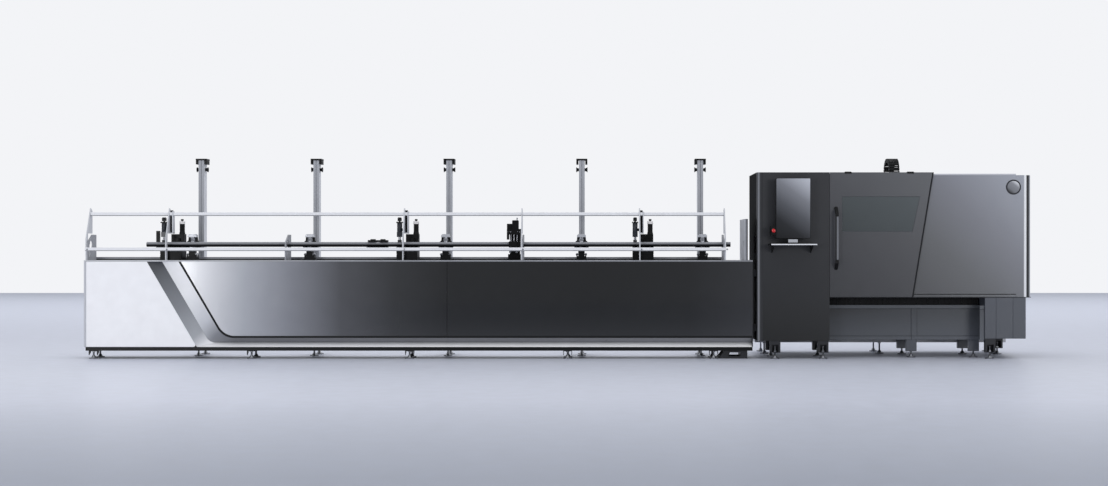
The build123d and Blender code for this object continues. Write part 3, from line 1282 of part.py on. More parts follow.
def make_cutting_head():
    """The cutting head on its slide, nozzle down over the tube's line."""
    back = ARM_FRONT - RUN_GAP
    body = block(middle(CARRIAGE_X, SLIDE_WIDTH), (HEAD_BODY_FRONT, back), (ARM_BOTTOM - NOSE_DROP, HEAD_BODY_TOP))
    axis_y = TUBE_Y
    barrel = upright(CARRIAGE_X, axis_y, (NOZZLE_TIP + NOZZLE_LENGTH, ARM_BOTTOM - NOSE_DROP), BARREL)
    cone = Cone(NOZZLE_RADIUS, BARREL, NOZZLE_LENGTH)
    cone = Pos(CARRIAGE_X, axis_y, NOZZLE_TIP + NOZZLE_LENGTH / 2) * cone
    return body.fuse(barrel, cone)


def make_chain():
    """The cable chain's loop over the roof."""
    width = middle(CHAIN_X, CHAIN_WIDTH)
    bend = min(CHAIN_ROUND, CHAIN_TOP - ROOF_TOP - CHAIN_HEIGHT / 2, (CHAIN_BACK - CHAIN_FRONT) / 2 - 1)
    points = [(CHAIN_FRONT, ROOF_TOP), (CHAIN_FRONT, CHAIN_TOP), (CHAIN_BACK, CHAIN_TOP), (CHAIN_BACK, ROOF_TOP)]
    hoop = outline_yz(points, width[0], CHAIN_WIDTH)
    corners = hoop.edges().filter_by(Axis.X).group_by(Axis.Z)[-1]
    hoop = fillet(corners, bend)
    inner = [
        (CHAIN_FRONT + CHAIN_HEIGHT, ROOF_TOP - 1),
        (CHAIN_FRONT + CHAIN_HEIGHT, CHAIN_TOP - CHAIN_HEIGHT),
        (CHAIN_BACK - CHAIN_HEIGHT, CHAIN_TOP - CHAIN_HEIGHT),
        (CHAIN_BACK - CHAIN_HEIGHT, ROOF_TOP - 1),
    ]
    core = outline_yz(inner, width[0] - 1, CHAIN_WIDTH + 2)
    core_corners = core.edges().filter_by(Axis.X).group_by(Axis.Z)[-1]
    return hoop - fillet(core_corners, bend - CHAIN_HEIGHT)


save("chuck_housing", make_chuck_housing())
save("front_chuck", make_chuck())
save("gantry_beam", make_gantry_beam())
save("cutting_carriage", make_carriage())
save("cutting_head", make_cutting_head())
save("cable_chain", make_chain())


# Levelling feet under everything
def make_foot(x, y, seat, stem_top, nut_z):
    """One levelling foot: pad, cone, threaded stem and nut."""
    pad = upright(x, y, (0, PAD_HEIGHT), PAD_RADIUS)
    cone = Pos(x, y, PAD_HEIGHT + CONE_HEIGHT / 2) * Cone(NUT_RADIUS + 4, STEM_RADIUS, CONE_HEIGHT)
    stem = upright(x, y, (PAD_HEIGHT, stem_top), STEM_RADIUS)
    nut = upright(x, y, span(nut_z, NUT_HEIGHT), NUT_RADIUS)
    return pad.fuse(cone, stem, nut)


feet = []
for x in BED_FOOT_X:
    feet += [make_foot(x, y, TRAY_BOTTOM, TRAY_BOTTOM, TRAY_BOTTOM - NUT_HEIGHT) for y in FOOT_ROWS]
for x in COLUMN_X:
    for y in (deep(480.0), ARM_BACK - PAD_RADIUS):
        feet.append(make_foot(x, y, TRAY_BOTTOM, TRAY_BOTTOM, TRAY_BOTTOM - NUT_HEIGHT))
for x, front, top in leg_places:
    nut_z = LEG_BOTTOM + LEG_LIP
    feet.append(make_foot(x, front + LEG_DEPTH / 2, LEG_BOTTOM, nut_z + LEG_CUT_HEIGHT * 0.8, nut_z))
for x in (REAR_LEFT + LEG_WIDTH, (REAR_LEFT + REAR_RIGHT) / 2, REAR_RIGHT - LEG_WIDTH):
    for y in (SHELL_BACK + PAD_RADIUS + 10, SHELL_BACK + REAR_DEPTH - PAD_RADIUS):
        feet.append(make_foot(x, y, REAR_BOTTOM, REAR_BOTTOM, REAR_BOTTOM - NUT_HEIGHT))
save("levelling_feet", Compound(feet))
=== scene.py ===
import bpy
import bmesh
import math
from mathutils import Matrix, Vector


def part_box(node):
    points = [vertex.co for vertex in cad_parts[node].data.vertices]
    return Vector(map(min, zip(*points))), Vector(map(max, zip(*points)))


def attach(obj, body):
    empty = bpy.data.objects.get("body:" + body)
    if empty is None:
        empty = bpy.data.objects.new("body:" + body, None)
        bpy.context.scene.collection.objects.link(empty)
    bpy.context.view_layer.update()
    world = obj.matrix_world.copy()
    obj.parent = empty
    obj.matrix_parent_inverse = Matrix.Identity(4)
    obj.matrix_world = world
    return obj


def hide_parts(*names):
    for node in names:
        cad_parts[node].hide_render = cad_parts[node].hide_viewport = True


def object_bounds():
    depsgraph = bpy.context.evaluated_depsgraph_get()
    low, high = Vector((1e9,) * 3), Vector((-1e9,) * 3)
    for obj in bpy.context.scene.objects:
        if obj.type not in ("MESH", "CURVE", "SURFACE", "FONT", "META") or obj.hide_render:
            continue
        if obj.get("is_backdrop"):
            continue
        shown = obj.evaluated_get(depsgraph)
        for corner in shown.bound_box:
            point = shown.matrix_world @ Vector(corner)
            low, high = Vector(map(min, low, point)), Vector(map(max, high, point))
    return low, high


# A tube laser cutting line with a long loading bed and a cutting cabin. The CAD
# model is the frame, and this script gives it finishes, detail, a studio and a
# camera. Pieces are written in millimetres, X along the line and Z up.
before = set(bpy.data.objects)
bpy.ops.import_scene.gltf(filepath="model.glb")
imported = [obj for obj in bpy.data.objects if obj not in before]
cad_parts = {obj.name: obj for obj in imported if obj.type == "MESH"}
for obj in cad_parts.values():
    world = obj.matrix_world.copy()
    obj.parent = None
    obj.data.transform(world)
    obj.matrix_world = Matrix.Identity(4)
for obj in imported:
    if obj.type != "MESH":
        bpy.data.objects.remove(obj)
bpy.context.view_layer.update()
scene = bpy.context.scene

# ---- Camera and studio ----
# A long lens looks straight at the line from low down, as at a catalogue set:
# a pale grey floor, a near white wall of light and soft lights round the line.
MM = 0.001
WALL_WHITE = "#F3F4F7"
FILL_WHITE = "#E9ECF4"


def linear(code):
    """A hex colour as the linear values that shaders take."""
    parts = [int(code[i : i + 2], 16) / 255 for i in (1, 3, 5)]
    parts = [v / 12.92 if v <= 0.04045 else ((v + 0.055) / 1.055) ** 2.4 for v in parts]
    return (*parts, 1.0)


def add(tree, kind, inputs=None, **settings):
    """One node in a tree, with its settings and its inputs as links or values."""
    node = tree.nodes.new(kind)
    for name, value in settings.items():
        setattr(node, name, value)
    for key, value in (inputs or {}).items():
        if isinstance(value, bpy.types.NodeSocket):
            tree.links.new(value, node.inputs[key])
        else:
            node.inputs[key].default_value = value
    return node


camera = bpy.data.objects.new("camera", bpy.data.cameras.new("camera"))
camera.data.lens = 50
camera.data.sensor_width = 36
camera.data.shift_x = -0.0415
camera.data.shift_y = 0.0063
camera.data.clip_end = 200
camera.location = (0.45, -16.69, 1.145)
camera.rotation_euler = (math.pi / 2, 0, 0)
scene.collection.objects.link(camera)
scene.camera = camera
scene.view_settings.view_transform = "Standard"


def area_light(name, place, aim, size, power):
    """A soft light that the camera doesn't see."""
    data = bpy.data.lights.new(name, "AREA")
    data.shape = "RECTANGLE"
    data.size, data.size_y = size
    data.energy = power
    light = bpy.data.objects.new(name, data)
    light.location = place
    light.rotation_euler = (Vector(aim) - Vector(place)).to_track_quat("-Z", "Y").to_euler()
    light.visible_camera = False
    scene.collection.objects.link(light)


area_light("left_softbox", (-11.5, -20.0, 2.0), (-2.0, 0.0, 1.0), (5, 4), 800)
area_light("right_softbox", (13.5, -20.0, 3.5), (3.5, 0.0, 1.0), (7, 5), 900)
area_light("overhead", (0.0, -2.0, 8.0), (0.0, -2.0, 0.0), (22, 12), 620)
area_light("rear_overhead", (0.0, 14.0, 8.0), (0.0, 14.0, 0.0), (50, 16), 2600)

# The camera sees the wall of light; the machine gets a cooler, weaker fill.
world = bpy.data.worlds.new("studio_air")
world.use_nodes = True
scene.world = world
air = world.node_tree
air.nodes.clear()
seen = add(air, "ShaderNodeBackground", {"Color": linear(WALL_WHITE), "Strength": 1.0})
fill = add(air, "ShaderNodeBackground", {"Color": linear(FILL_WHITE), "Strength": 0.5})
ray = add(air, "ShaderNodeLightPath").outputs["Is Camera Ray"]
both = add(air, "ShaderNodeMixShader", {0: ray, 1: fill.outputs[0], 2: seen.outputs[0]})
add(air, "ShaderNodeOutputWorld", {0: both.outputs[0]})

# ---- Finishes ----
# One maker gives every opaque finish a slight unevenness, and where the sheet
# picks up a run of light along the machine, a fade between several tones.
ALONG, BACK, UP = (1, 0, 0), (0, 1, 0), (0, 0, 1)


def fade_tone(tree, place, direction, stops):
    """The tone along a direction, between (distance in metres, colour) stops."""
    along = add(tree, "ShaderNodeVectorMath", {0: place, 1: direction}, operation="DOT_PRODUCT")
    low, high = stops[0][0], stops[-1][0]
    share = add(tree, "ShaderNodeMapRange", {"Value": along.outputs["Value"], 1: low, 2: high})
    ramp = add(tree, "ShaderNodeValToRGB", {0: share.outputs[0]})
    points = ramp.color_ramp.elements
    while len(points) < len(stops):
        points.new(0.5)
    for point, (distance, shade) in zip(points, stops):
        point.position = (distance - low) / (high - low)
        point.color = linear(shade)
    return ramp.outputs[0]


def finish(
    name, colour, rough, fade=None,
    metal=0.0, coat=0.0, grain=0.02, brushed=(3, 3, 3), peel=0.0, gloss=0.5,
):
    """A procedural finish on object coordinates.

    fade is (direction, stops) and takes the colour's place; grain is the colour's
    unevenness and brushed its stretch along X, Y and Z; peel is the height of fine
    orange peel; gloss is how much light is thrown back beside the colour.
    """
    material = bpy.data.materials.new(name)
    material.use_nodes = True
    tree = material.node_tree
    tree.nodes.clear()
    place = add(tree, "ShaderNodeTexCoord").outputs["Object"]
    scaled = add(tree, "ShaderNodeMapping", {"Vector": place, "Scale": brushed}).outputs[0]
    uneven = {"Vector": scaled, "Scale": 2.0, "Detail": 5.0}
    noise = add(tree, "ShaderNodeTexNoise", uneven).outputs["Fac"]
    swing = {"Value": noise, 3: 1 - grain * 4, 4: 1 + grain * 4}
    tone = add(tree, "ShaderNodeMapRange", swing).outputs[0]
    base = fade_tone(tree, place, *fade) if fade else linear(colour)[:3]
    mixed = add(tree, "ShaderNodeVectorMath", {0: base, "Scale": tone}, operation="SCALE")
    swing = {"Value": noise, 3: max(rough - 0.06, 0.03), 4: rough + 0.06}
    skin = {
        "Base Color": mixed.outputs[0],
        "Roughness": add(tree, "ShaderNodeMapRange", swing).outputs[0],
        "Metallic": metal,
        "Coat Weight": coat,
        "Coat Roughness": 0.06,
        "Specular IOR Level": gloss,
    }
    if peel:
        fine = {"Vector": place, "Scale": 900.0, "Detail": 2.0}
        bumps = {
            "Height": add(tree, "ShaderNodeTexNoise", fine).outputs["Fac"],
            "Strength": peel,
            "Distance": 0.001,
        }
        skin["Normal"] = add(tree, "ShaderNodeBump", bumps).outputs[0]
    shader = add(tree, "ShaderNodeBsdfPrincipled", skin)
    add(tree, "ShaderNodeOutputMaterial", {0: shader.outputs[0]})
    return material


# The stock tube's painted light and shade: near black underside, light band along its top.
TUBE_PAINTED_LIGHT = [(1.176, "#08090A"), (1.203, "#121315"), (1.208, "#7C7E83"), (1.232, "#8E9095")]
SLOTS = {
    # powder coats: satin sheets, whose fine peel softens what they mirror
    "white_paint": finish("white_powder_coat", "#F4F4F6", 0.4, peel=0.05),
    "light_grey": finish("light_grey_powder_coat", "#BEC0C6", 0.42, peel=0.05),
    "mid_grey": finish("mid_grey_powder_coat", "#7E8086", 0.42, peel=0.05),
    "slate_grey": finish("slate_powder_coat", "#3F434B", 0.45, peel=0.05),
    "charcoal": finish("charcoal_powder_coat", "#333438", 0.38, peel=0.05),
    # texture paint: a dull, faintly pebbled dark grey on frames and legs
    "dark_grey": finish("dark_grey_texture_paint", "#26272B", 0.5, peel=0.2, gloss=0.3),
    # satin paint: a deep black that still shows its edges
    "black_paint": finish("black_satin_paint", "#08090A", 0.4, peel=0.05, gloss=0.2),
    # lacquer: a glassy black that mirrors the studio
    "gloss_black": finish("black_lacquer", "#141517", 0.12, coat=0.6),
    # metallic lacquer: a silver sheet that turns bright towards the light
    "silver_paint": finish("silver_metallic_lacquer", "#C4C5C9", 0.28, metal=0.6),
    # anodised blocks: the darkest black of the machine, almost without shine
    "black_anodised": finish("black_anodised_aluminium", "#060708", 0.4, peel=0.1, gloss=0.15),
    # ground steel: bright, with fine streaks across the light
    "steel": finish("brushed_steel", "#8C8E93", 0.3, metal=1.0, grain=0.05, brushed=(4, 40, 40)),
    # steel with long drawn streaks, under a painted light band on top and painted shade below
    "tube_steel": finish(
        "mill_finish_tube_steel", "#5D5F64", 0.4, (UP, TUBE_PAINTED_LIGHT),
        metal=0.2, grain=0.03, brushed=(0.6, 30, 30), gloss=0.2,
    ),
    # safety pane: a dark, wet-looking sheet
    "window_glass": finish("tinted_safety_pane", "#33393C", 0.1, coat=0.8, grain=0.0),
    # moulded plastics: pale and plain, dull black, and a bright red button
    "white_trim": finish("white_moulded_plastic", "#E9E6E4", 0.45),
    "black_plastic": finish("black_moulded_plastic", "#08090A", 0.5, peel=0.2, gloss=0.25),
    "red_plastic": finish("red_gloss_plastic", "#C4151C", 0.2, coat=0.4),
}

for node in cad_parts.values():
    for holder in node.material_slots:
        holder.material = SLOTS[holder.material.name]


def paint(node, material):
    """Give a CAD node a finish of its own."""
    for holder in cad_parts[node].material_slots:
        holder.material = material


# ---- Floor ----
# The studio floor ends far behind the machine, where its edge meets the wall of
# light. It is polished, and painted shade makes it darker near the camera than under the machine.
FLOOR_EDGES = ((-45, -17, 0), (45, -17, 0), (45, 24.3, 0), (-45, 24.3, 0))
FLOOR_FADE = [
    (-9.0, "#A8AEBC"), (-6.9, "#C0C5D2"), (-4.9, "#D5D9E6"),
    (-2.5, "#D8DCE8"), (3.0, "#CDD1DE"), (24.0, "#C6CBD8"),
]
floor_mesh = bpy.data.meshes.new("studio_floor")
floor_mesh.from_pydata(FLOOR_EDGES, [], [(0, 1, 2, 3)])
POLISHED = finish("polished_floor", "#B0B4BF", 0.38, (BACK, FLOOR_FADE), gloss=0.12)
floor_mesh.materials.append(POLISHED)
floor = bpy.data.objects.new("studio_floor", floor_mesh)
scene.collection.objects.link(floor)
floor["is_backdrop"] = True

# ---- Builder ----
# Each piece is gathered from slabs, plates, rods and turned profiles in
# millimetres, gets small rounded edges and then rides on its CAD body.
AXES = {"x": (1, 2, 0), "y": (0, 2, 1), "z": (0, 1, 2)}
CABIN_FRONT = -530.0


def deep(distance):
    """Y of a point this far behind the cabin's front face."""
    return CABIN_FRONT + distance


def deeps(near, far):
    """A pair of such depths."""
    return (deep(near), deep(far))


def around(centre, size):
    """A low and high pair around a centre."""
    return (centre - size / 2, centre + size / 2)


def inset(pair, edge):
    """A low and high pair drawn in by an edge at both ends."""
    return (pair[0] + edge, pair[1] - edge)


def arc(centre, radius, angles):
    """Points round a centre at the given angles."""
    return [(centre[0] + radius * math.cos(t), centre[1] + radius * math.sin(t)) for t in angles]


def circle(centre, radius, sides=32):
    """Points of a whole circle."""
    return arc(centre, radius, [2 * math.pi * i / sides for i in range(sides)])


def degrees(*steps):
    """Angles for arc, from a range in whole degrees."""
    return [math.radians(a) for a in range(*steps)]


def rectangle(across, up):
    """The four corners of a rectangle from two low and high pairs."""
    return [(across[0], up[0]), (across[1], up[0]), (across[1], up[1]), (across[0], up[1])]


class Shape:
    """Collects shapes in millimetres for one piece."""

    def __init__(self):
        self.mesh = bmesh.new()

    def corner(self, axis, point, distance):
        """A corner at a point across an axis and a distance along it."""
        place = [0, 0, 0]
        for index, value in zip(AXES[axis], (*point, distance)):
            place[index] = value
        return self.mesh.verts.new(place)

    def plate(self, axis, points, span, holes=()):
        """A plate across an axis, cut to an outline, with holes through it."""
        edges = []
        for loop in [points, *holes]:
            corners = [self.corner(axis, point, span[0]) for point in loop]
            pairs = zip(corners, corners[1:] + corners[:1])
            edges += [self.mesh.edges.new(pair) for pair in pairs]
        if holes:
            filled = bmesh.ops.triangle_fill(self.mesh, edges=edges, use_beauty=True)
            faces = [f for f in filled["geom"] if isinstance(f, bmesh.types.BMFace)]
        else:
            faces = [self.mesh.faces.new(corners)]
        grown = bmesh.ops.extrude_face_region(self.mesh, geom=faces)
        shift = [0, 0, 0]
        shift[AXES[axis][2]] = span[1] - span[0]
        moved = [v for v in grown["geom"] if isinstance(v, bmesh.types.BMVert)]
        bmesh.ops.translate(self.mesh, verts=moved, vec=shift)
        return self

    def slab(self, x, y, z):
        """A block from its low and high pairs."""
        return self.plate("z", rectangle(x, y), z)

    def slabs(self, *blocks):
        """Several blocks."""
        for x, y, z in blocks:
            self.slab(x, y, z)
        return self

    def turned(self, axis, centre, profile, sides=32, start=0):
        """A turned piece from (distance along the axis, radius) points."""
        rings = []
        for distance, radius in profile:
            spots = circle(centre, radius, sides) if radius else [centre]
            rings.append([self.corner(axis, spot, start + distance) for spot in spots])
        for a, b in zip(rings, rings[1:]):
            for i in range(sides):
                j = (i + 1) % sides
                corners = [a[i % len(a)], a[j % len(a)], b[j % len(b)], b[i % len(b)]]
                corners = [v for k, v in enumerate(corners) if v not in corners[:k]]
                if len(corners) > 2:
                    self.mesh.faces.new(corners)
        return self

    def rod(self, axis, centre, span, radius, sides=32):
        """A plain round bar."""
        ends = [(span[0], 0), (span[0], radius), (span[1], radius), (span[1], 0)]
        return self.turned(axis, centre, ends, sides)

    def bolt(self, place, face, radius=5, crown=4.5, sides=12):
        """A low bolt head 4 mm proud of a front face, at an (X, Z) place."""
        head = [(0, 0), (0, radius), (-3, crown), (-4, 0)]
        return self.turned("y", place, head, sides, face)

    def make(self, name, material, bevel):
        """The mesh object at the origin, with its edges rounded by a bevel."""
        bmesh.ops.recalc_face_normals(self.mesh, faces=self.mesh.faces)
        bmesh.ops.scale(self.mesh, vec=(MM, MM, MM), verts=self.mesh.verts)
        data = bpy.data.meshes.new(name)
        self.mesh.to_mesh(data)
        self.mesh.free()
        data.polygons.foreach_set("use_smooth", [bool(bevel)] * len(data.polygons))
        data.materials.append(material)
        made = bpy.data.objects.new(name, data)
        scene.collection.objects.link(made)
        if bevel:
            rounding = made.modifiers.new("rounding", "BEVEL")
            rounding.width = bevel * MM
            rounding.segments = 2
            rounding.limit_method = "ANGLE"
            rounding.angle_limit = math.radians(35)
            rounding.harden_normals = True
            bake(made)
        return made

    def piece(self, name, slot, bevel=1.0, skin=None, replaces=None, body="line"):
        """The finished piece, riding on its body."""
        return hand_in(self.make(name, skin or SLOTS[slot], bevel), replaces, body)


def bake(made):
    """Replace an object's mesh with what its modifiers make of it."""
    bpy.context.view_layer.update()
    seen_by = bpy.context.evaluated_depsgraph_get()
    data = bpy.data.meshes.new_from_object(made.evaluated_get(seen_by))
    old = made.data
    made.modifiers.clear()
    made.data = data
    data.name = old.name
    bpy.data.meshes.remove(old)


def hand_in(made, replaces, body):
    """Hide the CAD node a made piece stands for and give the piece its body."""
    if replaces:
        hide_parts(replaces)
    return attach(made, body)


# A pattern is one item repeated at a list of places by Geometry Nodes, with its
# copies made real and given one finish.
pattern_tree = bpy.data.node_groups.new("repeat_at_places", "GeometryNodeTree")
for label, kind, way in (
    ("Places", "NodeSocketGeometry", "INPUT"),
    ("Item", "NodeSocketObject", "INPUT"),
    ("Finish", "NodeSocketMaterial", "INPUT"),
    ("Result", "NodeSocketGeometry", "OUTPUT"),
):
    pattern_tree.interface.new_socket(name=label, in_out=way, socket_type=kind)
given = add(pattern_tree, "NodeGroupInput").outputs
points = add(pattern_tree, "GeometryNodeMeshToPoints", {"Mesh": given["Places"]})
item_node = add(pattern_tree, "GeometryNodeObjectInfo", {"Object": given["Item"]})
turning = add(
    pattern_tree, "GeometryNodeInputNamedAttribute", {"Name": "turn"}, data_type="FLOAT_VECTOR"
)
euler = add(pattern_tree, "FunctionNodeEulerToRotation", {0: turning.outputs[0]})
copying = {
    "Points": points.outputs[0],
    "Instance": item_node.outputs["Geometry"],
    "Rotation": euler.outputs[0],
}
copies = add(pattern_tree, "GeometryNodeInstanceOnPoints", copying)
real = add(pattern_tree, "GeometryNodeRealizeInstances", {0: copies.outputs[0]})
coating = {"Geometry": real.outputs[0], "Material": given["Finish"]}
coated = add(pattern_tree, "GeometryNodeSetMaterial", coating)
add(pattern_tree, "NodeGroupOutput", {0: coated.outputs[0]})
pattern_inputs = {
    s.name: s.identifier for s in pattern_tree.interface.items_tree if s.in_out == "INPUT"
}


def pattern(name, item, places, slot, bevel=1.0, skin=None, replaces=None, turns=None):
    """One fixed mesh of an item repeated at places in millimetres.

    turns are the copies' angles about X, Y and Z.
    """
    model = item.make(name + "_item", skin or SLOTS[slot], bevel)
    data = bpy.data.meshes.new(name)
    data.from_pydata([[v * MM for v in place] for place in places], [], [])
    turn = data.attributes.new("turn", "FLOAT_VECTOR", "POINT")
    angles = turns or [(0, 0, 0)] * len(places)
    turn.data.foreach_set("vector", [v for xyz in angles for v in xyz])
    made = bpy.data.objects.new(name, data)
    scene.collection.objects.link(made)
    maker = made.modifiers.new("repeat", "NODES")
    maker.node_group = pattern_tree
    maker[pattern_inputs["Item"]] = model
    maker[pattern_inputs["Finish"]] = skin or SLOTS[slot]
    bake(made)
    bpy.data.objects.remove(model)
    return hand_in(made, replaces, "line")


def spans(node):
    """A CAD node's low and high pairs along X, Y and Z in millimetres."""
    low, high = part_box(node)
    return [(a / MM, b / MM) for a, b in zip(low, high)]


def middle(pair):
    """The middle of a low and high pair."""
    return (pair[0] + pair[1]) / 2


tube_x, tube_y, tube_z = spans("stock_tube")
TUBE_R, TUBE_Y, TUBE_Z = 26.0, middle(tube_y), middle(tube_z)
TUBE = (TUBE_Y, TUBE_Z)
HEAD_X = [middle(spans(f"support_head_{n}")[0]) for n in range(1, 6)]
HEAD_Y = TUBE_Y + 54.3
STATION_X = [middle(spans(f"clamp_press_{n}")[0]) + 48 for n in range(1, 4)]
(BED_LEFT, BED_RIGHT), (BED_FACE, deck_back), (COVER_TOP, deck_top) = spans("bed_deck")
CABIN_LEFT, COVER_RIGHT = spans("front_cover")[0]
RIGHT_END = spans("right_wall")[0][1]

# ---- Bed covers ----
# The white end cover, the folded silver channel and the lacquered panels. The
# channel's two flanks catch the light differently, so each is a piece.
SHEET = 3
COVER_FOOT = 124
PANEL_END = BED_RIGHT - 10
WHITE_TOP, VALLEY_TOP, PANEL_TOP = BED_LEFT + 665, BED_LEFT + 806, BED_LEFT + 998
SLANT = math.radians(30.3)
DOWN = Vector((math.sin(SLANT), -math.cos(SLANT)))
SIDE = Vector((math.cos(SLANT), math.sin(SLANT)))


def slant_foot(top_x, floor_z):
    """The corner where a slanted line from the covers' top meets a level."""
    return Vector((top_x + (COVER_TOP - floor_z) * math.tan(SLANT), floor_z))


def slant_run(top_x, floor_z, radius):
    """Points down the slant, round the bend and along the bed's foot."""
    bend = math.pi / 2 - SLANT
    start = slant_foot(top_x, floor_z) - DOWN * radius * math.tan(bend / 2)
    centre = start + SIDE * radius
    slope = [Vector((top_x, COVER_TOP)).lerp(start, i / 6) for i in range(6)]
    turn = [centre + Matrix.Rotation(bend * i / 14, 2) @ (-SIDE * radius) for i in range(15)]
    return [tuple(p) for p in slope + turn + [Vector((PANEL_END, floor_z))]]


def ribbon(lines, depths):
    """A folded sheet between two lines of (X, Z) points at their depths."""
    made = Shape()
    front, rear = [
        [
            [made.mesh.verts.new((x, depth + back, z)) for x, z in line]
            for line, depth in zip(lines, depths)
        ]
        for back in (0, SHEET)
    ]
    face = made.mesh.faces.new
    for i in range(len(front[0]) - 1):
        face([front[0][i], front[0][i + 1], front[1][i + 1], front[1][i]])
        face([rear[0][i], rear[1][i], rear[1][i + 1], rear[0][i + 1]])
        for a, b in zip(front, rear):
            face([a[i], b[i], b[i + 1], a[i + 1]])
    for i in (0, -1):
        face([front[0][i], front[1][i], rear[1][i], rear[0][i]])
    return made


# Lacquered flanks: the outer one lies in shade at the left, the inner one is
# bright there, and both run out to an even tone along the bed.
RUN = (1, 0, -1)
OUTER_FADE = [
    (-5.35, "#35363A"), (-4.94, "#66696E"), (-4.5, "#83868B"),
    (-4.05, "#A5A8AD"), (-3.8, "#FAFAFC"), (1.9, "#FFFFFF"),
]
INNER_FADE = [
    (-5.1, "#FFFFFF"), (-4.6, "#FFFFFF"), (-4.1, "#D2D4D8"),
    (-3.85, "#8A8C91"), (-3.6, "#6C6D71"), (1.9, "#78797E"),
]
outer_line = slant_run(WHITE_TOP, COVER_FOOT, 20)
valley_line = slant_run(VALLEY_TOP, 166, 110)
panel_line = slant_run(PANEL_TOP, 229, 200)
valley_y = BED_FACE + 72
ribbon([outer_line, valley_line], [BED_FACE, valley_y]).piece(
    "channel_outer_flank", "silver_paint", 0.8, replaces="silver_channel",
    skin=finish("silver_lacquer_shaded_flank", "#808080", 0.3, (RUN, OUTER_FADE), coat=0.2),
)
ribbon([valley_line, panel_line], [valley_y, BED_FACE]).piece(
    "channel_inner_flank", "silver_paint", 0.8,
    skin=finish("silver_lacquer_bright_flank", "#808080", 0.3, (RUN, INNER_FADE), coat=0.2),
)
bead_lines = [slant_run(PANEL_TOP, 219, 200), slant_run(PANEL_TOP + 25, 240.5, 190)]
ribbon(bead_lines, [BED_FACE - 2] * 2).piece("panel_edge_bead", "black_plastic", 0.8)

# Black lacquer with a painted reflection: a light run at the left and a paler room at the right.
BED_FADE = [
    (-3.75, "#D3D4D8"), (-3.3, "#A6A9B0"), (-2.8, "#7F8188"), (-2.28, "#4A4B4F"), (-1.7, "#28292B"),
    (-1.16, "#0C0D0E"), (0.4, "#040505"), (1.4, "#0D0E0F"), (2.05, "#26272A"),
]
PANEL_LACQUER = finish(
    "black_lacquer_with_light_run", "#1E1F21", 0.16, (ALONG, BED_FADE), coat=0.5, grain=0.005
)
for side in ("left", "right"):
    paint(f"fascia_panel_{side}", PANEL_LACQUER)

# The white cover ends in a toe that curves from the slant into its lower edge.
TOE = 45
corner = slant_foot(WHITE_TOP, COVER_FOOT)
start, end = corner - DOWN * TOE, Vector((corner.x - TOE, COVER_FOOT))
toe = [start.lerp(corner, i / 8).lerp(corner.lerp(end, i / 8), i / 8) for i in range(9)]
side_z = (COVER_FOOT + 0.5, COVER_TOP - 0.5)
white_left = BED_LEFT + 24.5
white_outline = [(white_left, side_z[0]), (white_left, side_z[1]), (WHITE_TOP - 1, side_z[1])]
white_outline += [tuple(p) for p in toe]
Shape().plate("y", white_outline, (BED_FACE, BED_FACE + 8)).piece(
    "white_cover_skin", "white_paint", 2.5, replaces="white_end_cover"
)
Shape().slab((BED_LEFT, BED_LEFT + 23.5), (BED_FACE, BED_FACE + 380), side_z).piece(
    "end_cover_side", "light_grey", 6, replaces="end_side_cover"
)

# ---- Bed deck, foot rail and stand ----
# A light deck edge over the panels, a black foot rail with brackets and a dark
# stand at the right end.
BED_LENGTH = 7045
DECK = 1037
DECK_FADE = [(-4.99, "#C0C2C6"), (-3.9, "#B4B6BA"), (-2.6, "#8E9095"), (2.1, "#85878C")]


def along_bed(share):
    """X at a share of the bed's length."""
    return BED_LEFT + share * BED_LENGTH


# A satin coat on the deck, paler at the left where the light falls along it.
DECK_SKIN = finish("grey_deck_coat", "#85878C", 0.4, (ALONG, DECK_FADE), peel=0.05)
rings = [rectangle(around(x, 91), around(HEAD_Y, 91)) for x in HEAD_X]
deck_outline = rectangle(inset((BED_LEFT, BED_RIGHT), 0.5), inset((BED_FACE, deck_back), 0.5))
Shape().plate("z", deck_outline, (COVER_TOP, deck_top), rings).piece(
    "deck_plate", "light_grey", 2, skin=DECK_SKIN, replaces="bed_deck"
)

(left, right), (stand_front, stand_back), _ = spans("end_stand")
FOOT_X = [along_bed(share) for share in (0.0136, 0.2501, 0.4866, 0.7231)] + [left - 52]
RAIL_FOOT = 84
bracket = Shape()
gusset = [(0, RAIL_FOOT), (0, 40), (6, 36), (60, 62), (60, RAIL_FOOT)]
for x in ((-46, -40), (40, 46)):
    bracket.plate("x", gusset, x)
bracket.slab((-46, 46), (0, 60), (78, RAIL_FOOT))
bracket_places = [(x, BED_FACE + 6, 0) for x in FOOT_X]
pattern("foot_brackets", bracket, bracket_places, "dark_grey", 1)

stand_outline = [(left, 0), (left + 60, RAIL_FOOT), (right, RAIL_FOOT), (right, 0)]
stand_window = [(left + 105, 24), (left + 120, 64), (right - 72, 64), (right - 72, 24)]
stand = Shape()
for y in ((stand_front, stand_front + 8), (stand_back - 8, stand_back)):
    stand.plate("y", stand_outline, y, [stand_window])
inner_y = inset((stand_front, stand_back), 8)
stand.slab((left + 60, right - 1), inner_y, (66, 83)).slab((left + 2, left + 100), inner_y, (1, 22))
stand.slab((right - 70, right - 1), inner_y, (1, 65))
stand.piece("bed_end_stand", "dark_grey", 1.5, replaces="end_stand")


